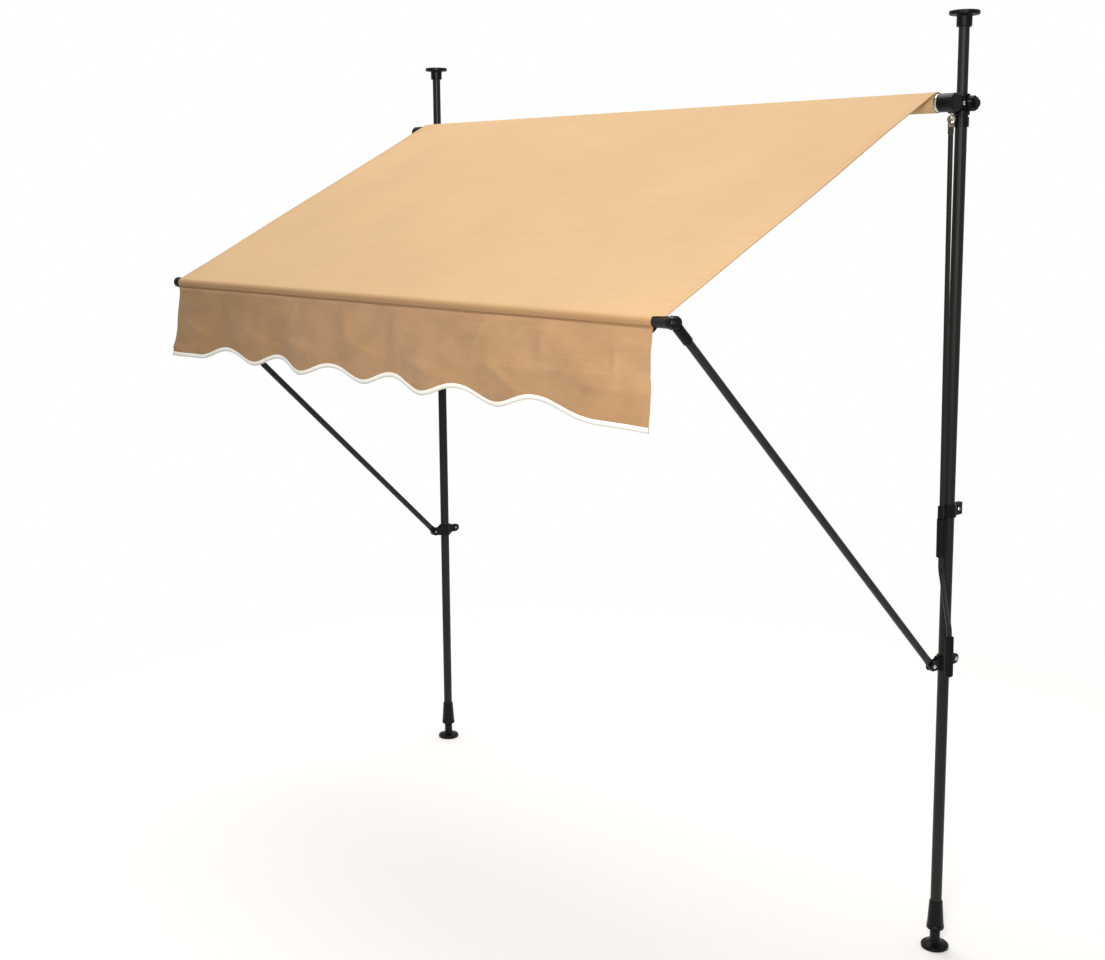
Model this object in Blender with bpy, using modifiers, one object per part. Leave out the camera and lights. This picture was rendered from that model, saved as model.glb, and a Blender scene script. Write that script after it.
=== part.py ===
"""Fabric awning clamped between floor and ceiling.

Two telescopic posts carry a geared roller. Two drop arms hold the front bar,
the cloth runs from the roller over the bar and ends in a scalloped valance,
and a crank hangs from the gear along the right post.

Metres, +Z up. The front faces -Y, +X is the right-hand side seen from the front,
and the origin lies on the floor midway between the two posts.
"""
import math

import bmesh
import bpy
from mathutils import Matrix, Vector

# General clearances
touch_gap = 0.0003
pin_clearance = 0.0003
swing_gap = 0.0006

# Posts
post_spacing = 2.000
ceiling_height = 2.312
main_tube_radius = 0.0140
main_tube_wall = 0.0012
main_tube_bottom = 0.112
main_tube_seat = 0.015
upper_tube_wall = 0.0012
upper_tube_length = 0.950

# Ceiling pads
ceiling_pad_radius = 0.0355
ceiling_pad_thickness = 0.010
ceiling_neck_radius = 0.0180
ceiling_neck_length = 0.027
pad_rounding = 0.002

# Screw feet
foot_pad_radius = 0.0345
foot_pad_edge = 0.009
foot_boss_radius = 0.0135
foot_boss_top = 0.0205
spindle_radius = 0.0080
spindle_collar_radius = 0.0130
spindle_collar_top = 0.046
spindle_top = 0.300
foot_nut_bottom = 0.050
foot_nut_lip = 0.012
foot_nut_base_radius = 0.0220
foot_nut_base_height = 0.009
foot_nut_top_radius = 0.0168
foot_guide_length = 0.027

# Roller
roller_forward = 0.0746
roller_below_ceiling = 0.212
roller_tube_radius = 0.0190
roller_tube_wall = 0.0012
roller_plug_length = 0.030
roller_shaft_radius = 0.0050
roll_radius = 0.0236
roll_lap_step = 0.0008
roller_inset_left = 0.048
roller_inset_right = 0.015
end_disc_radius = 0.0215
end_disc_thickness = 0.0065

# Head brackets
bracket_rise = 0.023
bracket_depth = 0.0265
bracket_sleeve_radius = 0.0190
bracket_neck_radius = 0.0155
bracket_neck_height = 0.0035
bracket_collar_radius = 0.0178
bracket_collar_height = 0.023
bracket_arm_half_width = 0.0162
bracket_arm_half_height = 0.017
bracket_boss_radius = 0.0195
bracket_edge = 0.0015

# Lock knobs of the upper tubes
knob_screw_radius = 0.0040
knob_washer_radius = 0.0090
knob_washer_thickness = 0.004
knob_radius = 0.0170
knob_lobe_depth = 0.0011
knob_lobes = 8
knob_thickness = 0.0125
knob_hub_radius = 0.0105
knob_hub_thickness = 0.008

# Gear on the right
gear_barrel_radius = 0.0215
gear_barrel_wall = 0.0030
gear_barrel_length = 0.041
gear_cover_thickness = 0.003
worm_wheel_radius = 0.0085
worm_wheel_tooth = 0.0012
worm_wheel_teeth = 18
worm_wheel_width = 0.008
worm_crest_radius = 0.0040
worm_thread_depth = 0.0009
worm_half_length = 0.0068
worm_journal_radius = 0.0030
gear_boss_radius = 0.0080
gear_boss_drop = 0.0025
eye_ring_radius = 0.0085
eye_wire_radius = 0.0024
eye_drop = 0.0165
gear_lug_thickness = 0.0050
gear_lug_half_height = 0.011
gear_bolt_radius = 0.0030
gear_bolt_back = 0.026
bolt_head_radius = 0.0055
bolt_head_height = 0.0042

# Drop arms
arm_clamp_height = 0.7486
arm_pivot_forward = 0.0466
arm_offset = -0.0040
arm_length = 1.290
arm_rest_angle = 44.33
arm_tube_radius = 0.0090
arm_tube_wall = 0.0012
tongue_half_thickness = 0.0040
tongue_end_radius = 0.0120
tongue_neck = 0.028
arm_plug_length = 0.032
arm_socket_radius = 0.0112
arm_socket_length = 0.046
arm_tube_end_gap = 0.034
knuckle_radius = 0.0145
knuckle_width = 0.016
knuckle_shift = 0.000

# Arm clamps
clamp_half_height = 0.018
clamp_ear_half_height = 0.0125
clamp_wall = 0.0036
clamp_split = 0.0006
clamp_ear_thickness = 0.0032
clamp_ear_reach = 0.0600
clamp_bolt_radius = 0.0030

# Front bar
bar_radius = 0.0125
bar_wall = 0.0012
bar_plug_length = 0.024
bar_flange_thickness = 0.0019
bar_pin_radius = 0.0040
pivot_cap_radius = 0.0125
pivot_cap_thickness = 0.0044
pivot_cap_floor = 0.0020

# Cloth
cloth_thickness = 0.0010
canopy_inset_left = 0.032
canopy_inset_right = 0.017
canopy_lap_start = 60.0
canopy_lap_end = 225.0
canopy_sag = 0.005
hem_inset_left = 0.023
hem_inset_right = 0.054
hem_tail_forward = 0.0070
hem_tail_drop = 0.0225
seam_drop = 0.0135
valance_drop = 0.2085
valance_skew = 0.012
scallop_height = 0.029
first_notch_inset = 0.262
last_notch_inset = 0.361
last_scallop_reach = 0.2185
notch_count = 6
valance_fold_depth = 0.0075
corner_curl = 0.034
corner_flare = -0.010
binding_height = 0.010
binding_thickness = 0.0006
binding_gap = 0.0005

# Crank
crank_radius = 0.0060
crank_lean_x = -0.0136
crank_lean_y = 0.0356
crank_bend_below_holder = 0.141
crank_throw = 0.170
crank_throw_angle = 41.3
crank_link_drop = 0.105
crank_handle_length = 0.112
crank_bend_radius = 0.022
upper_grip_gap = 0.001
upper_grip_length = 0.096
upper_grip_radius = 0.0114
lower_grip_length = 0.096
lower_grip_radius = 0.0105
lower_grip_inset = 0.014
clevis_radius = 0.0068
clevis_cheek = 0.0024
clevis_slot_half = 0.0034
clevis_pin_radius = 0.0024
clevis_base_bottom = 0.034
clevis_base_top = 0.0165

# Crank holder
holder_height = 1.131
holder_half_height = 0.015
holder_ring_radius = 0.0185
holder_ear_reach = 0.050
holder_ear_half = 0.0060
holder_slit_half = 0.0006
holder_neck_half = 0.0060
holder_clip_radius = 0.0098
holder_mouth_angle = 42.0
holder_clip_play = 0.0010
holder_screw_radius = 0.0022

# Mesh fineness
round_steps = 24
medium_steps = 16
small_steps = 12

# Worked out from the driving dimensions
post_x = post_spacing / 2
roller_height = ceiling_height - roller_below_ceiling
bracket_top = roller_height + bracket_rise
bracket_sleeve_bottom = roller_height - bracket_depth
crank_bend_height = holder_height - crank_bend_below_holder
crank_grip_top = holder_height - holder_half_height - upper_grip_gap
upper_tube_radius = main_tube_radius - main_tube_wall - touch_gap
arm_angle = math.radians(arm_rest_angle)
bar_y = -(arm_pivot_forward + arm_length * math.cos(arm_angle))
bar_z = arm_clamp_height + arm_length * math.sin(arm_angle)
arm_plane_x = post_x + arm_offset
knuckle_x = arm_plane_x + knuckle_shift
knuckle_inner = knuckle_x - knuckle_width / 2
knuckle_outer = knuckle_x + knuckle_width / 2
bar_end_x = knuckle_inner - touch_gap - bar_flange_thickness
roller_y = -roller_forward
cloth_left_at_roller = roller_inset_left - post_x
cloth_right_at_roller = post_x - roller_inset_right
canopy_left_at_bar = canopy_inset_left - post_x
canopy_right_at_bar = post_x - canopy_inset_right
hem_left = hem_inset_left - post_x
hem_right = post_x - hem_inset_right
first_notch = hem_left + first_notch_inset
last_notch = hem_right - last_notch_inset
scallop_pitch = (last_notch - first_notch) / (notch_count - 1)
disc_start = cloth_right_at_roller + touch_gap
barrel_start = disc_start + end_disc_thickness + 0.003
barrel_end = barrel_start + gear_barrel_length
worm_wheel_x = (barrel_start + barrel_end) / 2 - 0.0025
worm_y = roller_y + worm_wheel_radius + worm_crest_radius + touch_gap
eye_point = Vector((worm_wheel_x, worm_y, roller_height - gear_barrel_radius - eye_drop))
lug_inner = post_x + bracket_arm_half_width + touch_gap
lug_outer = lug_inner + gear_lug_thickness
collar_bottom = bracket_sleeve_bottom - bracket_neck_height - bracket_collar_height
main_tube_top = collar_bottom + main_tube_seat
hem_inner = bar_radius + touch_gap
hem_outer = hem_inner + cloth_thickness
fold_start = hem_tail_drop + 0.002
valance_y = bar_y - hem_tail_forward - cloth_thickness * 1.2 - touch_gap - cloth_thickness / 2
crank_top = eye_point + Vector((0.0, 0.0, -clevis_base_bottom - touch_gap))
crank_bend = Vector((eye_point.x + crank_lean_x, eye_point.y + crank_lean_y, crank_bend_height))
crank_axis = (crank_top - crank_bend).normalized()


def clear_scene():
    """Remove every object that the file opened with."""
    for old in list(bpy.data.objects):
        bpy.data.objects.remove(old, do_unlink=True)


def new_collection(name):
    group = bpy.data.collections.new(name)
    bpy.context.scene.collection.children.link(group)
    return group


def new_material(name, colour, roughness, metallic=0.0):
    """A Principled material of one colour."""
    made = bpy.data.materials.new(name)
    made.use_nodes = True
    shader = made.node_tree.nodes["Principled BSDF"]
    shader.inputs["Base Color"].default_value = (*colour, 1.0)
    shader.inputs["Roughness"].default_value = roughness
    shader.inputs["Metallic"].default_value = metallic
    made.diffuse_color = (*colour, 1.0)
    return made


clear_scene()
awning = new_collection("fabric_awning")
cutters = new_collection("cutters")

coated = new_material("dark_coated_tube", (0.035, 0.038, 0.040), 0.42, 0.3)
moulded = new_material("black_moulding", (0.012, 0.018, 0.015), 0.45)
zinc = new_material("bright_zinc", (0.72, 0.72, 0.70), 0.28, 1.0)
bronze = new_material("gear_bronze", (0.55, 0.38, 0.18), 0.35, 1.0)
sand = new_material("sand_canvas", (0.78, 0.58, 0.38), 0.9)
tan = new_material("valance_canvas", (0.62, 0.42, 0.26), 0.9)
white = new_material("white_binding", (0.88, 0.87, 0.82), 0.8)
grip_black = new_material("grip_plastic", (0.008, 0.008, 0.008), 0.5)


def place(thing, material, parent=None):
    """Put a finished piece in the awning's collection with its material."""
    awning.objects.link(thing)
    thing.data.materials.append(material)
    if parent is not None:
        thing.parent = parent
    return thing


def keep_as_cutter(thing, parent=None):
    """Keep a tool body out of the model, for the Booleans only."""
    cutters.objects.link(thing)
    thing.hide_render = True
    thing.display_type = "WIRE"
    if parent is not None:
        thing.parent = parent
    return thing


def boolean(thing, tool, operation):
    step = thing.modifiers.new(operation.lower(), "BOOLEAN")
    step.operation = operation
    step.solver = "EXACT"
    step.object = tool
    tidy = thing.modifiers.new("weld", "WELD")
    tidy.merge_threshold = 0.000005
    return thing


def pivot_empty(name, location, rotation=(0.0, 0.0, 0.0)):
    """An empty on a joint's axis, which carries the pieces that move with it."""
    empty = bpy.data.objects.new(name, None)
    empty.location = location
    empty.rotation_euler = rotation
    cutters.objects.link(empty)
    return empty


def turned(name, profile, steps=round_steps, closed=False):
    """A turned piece: the profile of (radius, height) points spun about Z."""
    mesh = bpy.data.meshes.new(name)
    points = [(radius, 0.0, height) for radius, height in profile]
    edges = [(i, i + 1) for i in range(len(points) - 1)]
    if closed:
        edges.append((len(points) - 1, 0))
    mesh.from_pydata(points, edges, [])
    thing = bpy.data.objects.new(name, mesh)
    spin = thing.modifiers.new("turn", "SCREW")
    spin.axis = "Z"
    spin.steps = steps
    spin.render_steps = steps
    spin.use_merge_vertices = True
    spin.merge_threshold = 0.00001
    spin.use_smooth_shade = True
    return thing


def turned_ring(name, outer, inner, low, high, steps=round_steps):
    """A plain tube or ring."""
    profile = [(outer, high), (outer, low), (inner, low), (inner, high)]
    return turned(name, profile, steps, closed=True)


def turned_rod(name, radius, low, high, steps=small_steps):
    return turned(name, [(0.0, high), (radius, high), (radius, low), (0.0, low)], steps)


def box(name, low, high, edge=0.0):
    """A box between two corners, with an optional small bevel."""
    mesh = bpy.data.meshes.new(name)
    shape = bmesh.new()
    bmesh.ops.create_cube(shape, size=1.0)
    low = Vector(low)
    high = Vector(high)
    size = high - low
    for corner in shape.verts:
        corner.co = Vector([low[k] + (corner.co[k] + 0.5) * size[k] for k in range(3)])
    shape.to_mesh(mesh)
    shape.free()
    thing = bpy.data.objects.new(name, mesh)
    if edge > 0.0:
        bevel = thing.modifiers.new("edge", "BEVEL")
        bevel.width = edge
        bevel.segments = 1
        bevel.limit_method = "NONE"
    return thing


def flat_outline(name, loops, thickness):
    """A flat plate from closed outlines in XY, centred on Z = 0."""
    curve = bpy.data.curves.new(name, "CURVE")
    curve.dimensions = "2D"
    curve.fill_mode = "BOTH"
    curve.extrude = thickness / 2
    for loop in loops:
        spline = curve.splines.new("POLY")
        spline.points.add(len(loop) - 1)
        for point, (a, b) in zip(spline.points, loop):
            point.co = (a, b, 0.0, 1.0)
        spline.use_cyclic_u = True
    return curve_to_mesh(name, curve)


def curve_to_mesh(name, curve):
    """Turn a curve into a closed mesh object, with its caps welded on."""
    source = bpy.data.objects.new(name + "_curve", curve)
    bpy.context.scene.collection.objects.link(source)
    bpy.context.view_layer.update()
    seen = source.evaluated_get(bpy.context.evaluated_depsgraph_get())
    mesh = bpy.data.meshes.new_from_object(seen)
    mesh.name = name
    bpy.data.objects.remove(source, do_unlink=True)
    shape = bmesh.new()
    shape.from_mesh(mesh)
    bmesh.ops.remove_doubles(shape, verts=shape.verts, dist=0.00001)
    bmesh.ops.recalc_face_normals(shape, faces=shape.faces)
    shape.to_mesh(mesh)
    shape.free()
    mesh.materials.clear()
    return bpy.data.objects.new(name, mesh)


def rod_along(name, points, radius, resolution=2):
    """A round rod along a list of points."""
    curve = bpy.data.curves.new(name, "CURVE")
    curve.dimensions = "3D"
    curve.bevel_depth = radius
    curve.bevel_resolution = resolution
    curve.use_fill_caps = True
    spline = curve.splines.new("POLY")
    spline.points.add(len(points) - 1)
    for slot, point in zip(spline.points, points):
        slot.co = (*point, 1.0)
    return curve_to_mesh(name, curve)


def arc(centre, radius, start, end, steps):
    """Points of an arc in a plane, angles in degrees."""
    points = []
    for i in range(steps + 1):
        angle = math.radians(start + (end - start) * i / steps)
        points.append((centre[0] + radius * math.cos(angle), centre[1] + radius * math.sin(angle)))
    return points


def rounded_path(corners, radius, steps=4):
    """A path through corners whose inner corners are rounded with arcs."""
    path = [corners[0]]
    for before, corner, after in zip(corners, corners[1:], corners[2:]):
        into = (corner - before).normalized()
        out = (after - corner).normalized()
        turn = into.angle(out)
        setback = radius * math.tan(turn / 2)
        start = corner - into * setback
        towards = (out - into * into.dot(out)).normalized()
        centre = start + towards * radius
        for i in range(steps + 1):
            angle = turn * i / steps
            path.append(centre - towards * radius * math.cos(angle) + into * radius * math.sin(angle))
    path.append(corners[-1])
    return path


def cloth_sheet(name, columns, rows, point_at, thickness):
    """A sheet of cloth: a grid whose points follow point_at(u, v), made solid."""
    mesh = bpy.data.meshes.new(name)
    shape = bmesh.new()
    bmesh.ops.create_grid(shape, x_segments=columns, y_segments=rows, size=1.0)
    for knot in shape.verts:
        knot.co = point_at((knot.co.x + 1) / 2, (knot.co.y + 1) / 2)
    shape.to_mesh(mesh)
    shape.free()
    mesh.shade_smooth()
    thing = bpy.data.objects.new(name, mesh)
    solid = thing.modifiers.new("thickness", "SOLIDIFY")
    solid.thickness = thickness
    solid.offset = 0.0
    solid.use_even_offset = True
    return thing


def along_x(thing, side=1, at=(0.0, 0.0)):
    """Lay a turned piece on X: its height runs outwards on the given side."""
    thing.rotation_euler = (0.0, side * math.pi / 2, 0.0)
    thing.location = (0.0, at[0], at[1])
    return thing


def rod_tool(name, radius, side, low, high, y, z, steps=small_steps, parent=None):
    """A hidden round tool body along X."""
    tool = along_x(turned_rod(name, radius, low, high, steps), side, (y, z))
    return keep_as_cutter(tool, parent)


def upright_tool(name, radius, x, y, low, high, steps=round_steps):
    """A hidden round tool body along Z."""
    tool = turned_rod(name, radius, low, high, steps)
    tool.location = (x, y, 0.0)
    return keep_as_cutter(tool)


def headed_bolt(name, shank, length, head_radius, head_height):
    """A button-headed bolt along Z: the shank runs down from Z = 0."""
    rim = head_height * 0.45
    profile = [
        (0.0, head_height),
        (head_radius * 0.62, head_height),
        (head_radius * 0.93, rim * 1.4),
        (head_radius, rim),
        (head_radius, 0.0),
        (shank, 0.0),
        (shank, -length),
        (0.0, -length),
    ]
    return turned(name, profile, small_steps)


def make_post_tubes(label, side):
    """The telescopic post: a main tube and the thinner tube that slides in it."""
    x = side * post_x
    bore = main_tube_radius - main_tube_wall
    main = turned_ring("main_tube_" + label, main_tube_radius, bore, main_tube_bottom, main_tube_top)
    main.location.x = x
    place(main, coated)

    slide = pivot_empty("upper_post_" + label, (x, 0.0, 0.0))
    top = ceiling_height - ceiling_pad_thickness - touch_gap - 0.001
    inner = upper_tube_radius - upper_tube_wall
    upper = turned_ring("upper_tube_" + label, upper_tube_radius, inner, top - upper_tube_length, top)
    place(upper, coated, slide)

    neck_low = ceiling_height - ceiling_pad_thickness - ceiling_neck_length
    under = ceiling_height - ceiling_pad_thickness
    socket = upper_tube_radius + touch_gap
    profile = [
        (0.0, ceiling_height),
        (ceiling_pad_radius - pad_rounding, ceiling_height),
        (ceiling_pad_radius, ceiling_height - pad_rounding),
        (ceiling_pad_radius, under + pad_rounding),
        (ceiling_pad_radius - pad_rounding, under),
        (ceiling_neck_radius + pad_rounding, under - pad_rounding / 2),
        (ceiling_neck_radius, under - 2 * pad_rounding),
        (ceiling_neck_radius, neck_low + pad_rounding),
        (ceiling_neck_radius - pad_rounding, neck_low),
        (socket, neck_low),
        (socket, top + touch_gap),
        (0.0, top + touch_gap),
    ]
    place(turned("ceiling_pad_" + label, profile), moulded, slide)


def make_foot(label, side):
    """The screw foot: pad, spindle, the sleeve that is turned and the guide in the tube."""
    x = side * post_x
    foot = pivot_empty("foot_" + label, (x, 0.0, 0.0))
    pad_profile = [
        (0.0, foot_boss_top),
        (foot_boss_radius - 0.001, foot_boss_top),
        (foot_boss_radius, foot_boss_top - 0.001),
        (foot_boss_radius + 0.001, foot_boss_top - 0.006),
        (foot_boss_radius + 0.009, foot_pad_edge + 0.0025),
        (foot_pad_radius - pad_rounding, foot_pad_edge),
        (foot_pad_radius, foot_pad_edge - pad_rounding),
        (foot_pad_radius, pad_rounding / 2),
        (foot_pad_radius - pad_rounding / 2, 0.0),
        (0.0, 0.0),
    ]
    place(turned("foot_pad_" + label, pad_profile), moulded, foot)

    spindle_profile = [
        (0.0, spindle_top),
        (spindle_radius, spindle_top),
        (spindle_radius, spindle_collar_top),
        (spindle_collar_radius - 0.001, spindle_collar_top),
        (spindle_collar_radius, spindle_collar_top - 0.001),
        (spindle_collar_radius, foot_boss_top + touch_gap),
        (0.0, foot_boss_top + touch_gap),
    ]
    place(turned("foot_spindle_" + label, spindle_profile, medium_steps), moulded, foot)

    nut = pivot_empty("foot_nut_axis_" + label, (x, 0.0, 0.0))
    thread = spindle_radius + pin_clearance
    cup = main_tube_radius + touch_gap
    lip_top = main_tube_bottom + foot_nut_lip
    nut_profile = [
        (foot_nut_top_radius - 0.001, lip_top),
        (foot_nut_top_radius, lip_top - 0.001),
        (foot_nut_base_radius - 0.001, foot_nut_bottom + foot_nut_base_height + 0.002),
        (foot_nut_base_radius, foot_nut_bottom + foot_nut_base_height),
        (foot_nut_base_radius, foot_nut_bottom + 0.0015),
        (foot_nut_base_radius - 0.0015, foot_nut_bottom),
        (thread, foot_nut_bottom),
        (thread, main_tube_bottom - touch_gap),
        (cup, main_tube_bottom - touch_gap),
        (cup, lip_top),
    ]
    place(turned("foot_nut_" + label, nut_profile, medium_steps, closed=True), moulded, nut)

    guide_outer = main_tube_radius - main_tube_wall - touch_gap
    guide_low = main_tube_bottom + touch_gap
    guide = turned_ring("foot_guide_" + label, guide_outer, thread, guide_low, guide_low + foot_guide_length, medium_steps)
    guide.location.x = x
    place(guide, moulded)


def make_head_bracket(label, side):
    """The casting on top of the main tube that carries the roller."""
    x = side * post_x
    neck_low = bracket_sleeve_bottom - bracket_neck_height
    profile = [
        (0.0, bracket_top),
        (bracket_sleeve_radius - bracket_edge, bracket_top),
        (bracket_sleeve_radius, bracket_top - bracket_edge),
        (bracket_sleeve_radius, bracket_sleeve_bottom + bracket_edge),
        (bracket_sleeve_radius - bracket_edge, bracket_sleeve_bottom),
        (bracket_neck_radius, bracket_sleeve_bottom),
        (bracket_neck_radius, neck_low),
        (bracket_collar_radius, neck_low - 0.001),
        (bracket_collar_radius, collar_bottom),
        (0.0, collar_bottom),
    ]
    bracket = turned("head_bracket_" + label, profile)
    bracket.location.x = x
    place(bracket, moulded)

    arm_front = roller_y + gear_barrel_radius + touch_gap if side > 0 else roller_y
    inward = bracket_arm_half_width if side < 0 else post_x - cloth_right_at_roller - swing_gap
    low = (x - inward, arm_front, roller_height - bracket_arm_half_height)
    high = (x + bracket_arm_half_width, 0.0, roller_height + bracket_arm_half_height)
    arm = keep_as_cutter(box("bracket_arm_" + label, low, high, bracket_edge))
    boolean(bracket, arm, "UNION")
    half = bracket_arm_half_width
    if side < 0:
        boss = rod_tool("bracket_boss_" + label, bracket_boss_radius, side, post_x - half, post_x + half,
                        roller_y, roller_height, round_steps)
        boolean(bracket, boss, "UNION")
    tube_seat = main_tube_radius + touch_gap
    seat = upright_tool("bracket_seat_" + label, tube_seat, x, 0.0, collar_bottom - 0.01, main_tube_top + touch_gap)
    bore_radius = upper_tube_radius + touch_gap
    bore = upright_tool("bracket_bore_" + label, bore_radius, x, 0.0, collar_bottom - 0.01, bracket_top + 0.01)
    boolean(bracket, seat, "DIFFERENCE")
    boolean(bracket, bore, "DIFFERENCE")
    knob_hole = rod_tool("bracket_knob_hole_" + label, knob_screw_radius + pin_clearance, side,
                         post_x, post_x + 0.03, 0.0, roller_height)
    boolean(bracket, knob_hole, "DIFFERENCE")
    if side < 0:
        bore = rod_tool("bracket_shaft_hole_" + label, roller_shaft_radius + pin_clearance, side,
                        post_x - half - 0.01, post_x + half + 0.01, roller_y, roller_height)
    else:
        bore = rod_tool("bracket_bolt_hole_" + label, gear_bolt_radius + pin_clearance, side,
                        post_x, post_x + half + 0.01, -gear_bolt_back, roller_height)
    boolean(bracket, bore, "DIFFERENCE")


def make_lock_knob(label, side):
    """The hand knob whose screw locks the upper tube at its height."""
    tip = upper_tube_radius + touch_gap
    washer = bracket_sleeve_radius + touch_gap
    grip_start = washer + knob_washer_thickness
    grip_end = grip_start + knob_thickness
    profile = [
        (0.0, post_x + grip_end + knob_hub_thickness),
        (knob_hub_radius - 0.001, post_x + grip_end + knob_hub_thickness),
        (knob_hub_radius, post_x + grip_end + knob_hub_thickness - 0.001),
        (knob_hub_radius, post_x + grip_start),
        (knob_washer_radius, post_x + grip_start),
        (knob_washer_radius, post_x + washer),
        (knob_screw_radius, post_x + washer),
        (knob_screw_radius, post_x + tip),
        (0.0, post_x + tip),
    ]
    knob = along_x(turned("lock_knob_" + label, profile, small_steps), side, (0.0, roller_height))
    place(knob, moulded)
    outline = []
    steps = knob_lobes * 4
    for i in range(steps):
        angle = 2 * math.pi * i / steps
        radius = knob_radius + knob_lobe_depth * math.cos(knob_lobes * angle)
        outline.append((radius * math.cos(angle), radius * math.sin(angle)))
    grip = keep_as_cutter(flat_outline("knob_grip_" + label, [outline], knob_thickness))
    grip.rotation_euler = (0.0, math.pi / 2, 0.0)
    grip.location = (side * (post_x + (grip_start + grip_end) / 2), 0.0, roller_height)
    boolean(knob, grip, "UNION")


def make_gear():
    """The worm gear on the right: housing, cover, wheel, worm with its eye, and bolt."""
    inner = gear_barrel_radius - gear_barrel_wall
    floor = barrel_end - gear_barrel_wall
    profile = [
        (0.0, barrel_end),
        (gear_barrel_radius - 0.0025, barrel_end),
        (gear_barrel_radius, barrel_end - 0.0025),
        (gear_barrel_radius, barrel_start),
        (0.0, barrel_start),
    ]
    housing = along_x(turned("gear_housing", profile), 1, (roller_y, roller_height))
    place(housing, moulded)
    lug = box("gear_lug",
              (lug_inner, roller_y + gear_barrel_radius - 0.008, roller_height - gear_lug_half_height),
              (lug_outer, -0.012, roller_height + gear_lug_half_height), 0.001)
    boolean(housing, keep_as_cutter(lug), "UNION")
    bolt_hole = rod_tool("gear_bolt_hole", gear_bolt_radius + pin_clearance, 1, lug_inner - 0.01,
                         lug_outer + 0.01, -gear_bolt_back, roller_height)
    boolean(housing, bolt_hole, "DIFFERENCE")
    boss_low = roller_height - gear_barrel_radius - gear_boss_drop
    boss = upright_tool("gear_boss", gear_boss_radius, eye_point.x, eye_point.y, boss_low,
                        roller_height - inner + 0.004, medium_steps)
    boolean(housing, boss, "UNION")
    hollow = rod_tool("gear_hollow", inner, 1, barrel_start - 0.01, floor, roller_y, roller_height, round_steps)
    boolean(housing, hollow, "DIFFERENCE")
    worm_hole = upright_tool("worm_hole", worm_journal_radius + pin_clearance, eye_point.x, eye_point.y,
                             boss_low - 0.01, roller_height, small_steps)
    boolean(housing, worm_hole, "DIFFERENCE")

    cover = turned_ring("gear_cover", inner - touch_gap, roller_shaft_radius + pin_clearance,
                        barrel_start + touch_gap, barrel_start + touch_gap + gear_cover_thickness)
    place(along_x(cover, 1, (roller_y, roller_height)), moulded)

    wheel_outline = []
    root = worm_wheel_radius - worm_wheel_tooth
    for tooth in range(worm_wheel_teeth):
        for share, radius in ((-0.36, root), (-0.17, worm_wheel_radius), (0.17, worm_wheel_radius), (0.36, root)):
            angle = 2 * math.pi * (tooth + share) / worm_wheel_teeth
            wheel_outline.append((radius * math.cos(angle), radius * math.sin(angle)))
    bore = arc((0.0, 0.0), roller_shaft_radius + pin_clearance, 0.0, 360.0, small_steps)[:-1]
    wheel = flat_outline("worm_wheel", [wheel_outline, bore], worm_wheel_width)
    wheel.rotation_euler = (0.0, math.pi / 2, 0.0)
    wheel.location = (worm_wheel_x, roller_y, roller_height)
    place(wheel, bronze)

    place(make_worm_shaft(), zinc)

    bolt_length = lug_outer - post_x - upper_tube_radius - 0.006
    bolt = headed_bolt("gear_bolt", gear_bolt_radius, bolt_length, bolt_head_radius, bolt_head_height)
    bolt.rotation_euler = (0.0, math.pi / 2, 0.0)
    bolt.location = (lug_outer + touch_gap, -gear_bolt_back, roller_height)
    place(bolt, zinc)


def make_worm_shaft():
    """The worm: its thread inside the housing and its eye ring below."""
    around = 8
    per_turn = 5
    pitch = 2 * math.pi * worm_wheel_radius / worm_wheel_teeth
    rings = int(round(2 * worm_half_length / pitch * per_turn))
    mesh = bpy.data.meshes.new("worm_shaft")
    shape = bmesh.new()
    bmesh.ops.create_grid(shape, x_segments=around, y_segments=rings, size=1.0)
    for knot in shape.verts:
        turn = (knot.co.x + 1) / 2
        height = worm_half_length * knot.co.y
        phase = math.cos(2 * math.pi * (height / pitch - turn))
        radius = worm_crest_radius - worm_thread_depth * (1 - phase) / 2
        angle = 2 * math.pi * turn
        knot.co = (radius * math.cos(angle), radius * math.sin(angle), height)
    bmesh.ops.remove_doubles(shape, verts=shape.verts, dist=0.00001)
    bmesh.ops.holes_fill(shape, edges=shape.edges, sides=0)
    bmesh.ops.recalc_face_normals(shape, faces=shape.faces)
    shape.to_mesh(mesh)
    shape.free()
    worm = bpy.data.objects.new("worm_shaft", mesh)
    worm.location = (eye_point.x, eye_point.y, roller_height)
    ring_top = eye_point.z + eye_ring_radius
    journal = upright_tool("worm_journal", worm_journal_radius, eye_point.x, eye_point.y, ring_top - 0.001,
                           roller_height - worm_half_length + 0.002, small_steps)
    boolean(worm, journal, "UNION")
    ring = turned("eye_ring", arc((eye_ring_radius, 0.0), eye_wire_radius, 0.0, -360.0, 6)[:-1], medium_steps, closed=True)
    ring.rotation_euler = (math.pi / 2, 0.0, 0.0)
    ring.location = eye_point
    boolean(worm, keep_as_cutter(ring), "UNION")
    return worm


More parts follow.
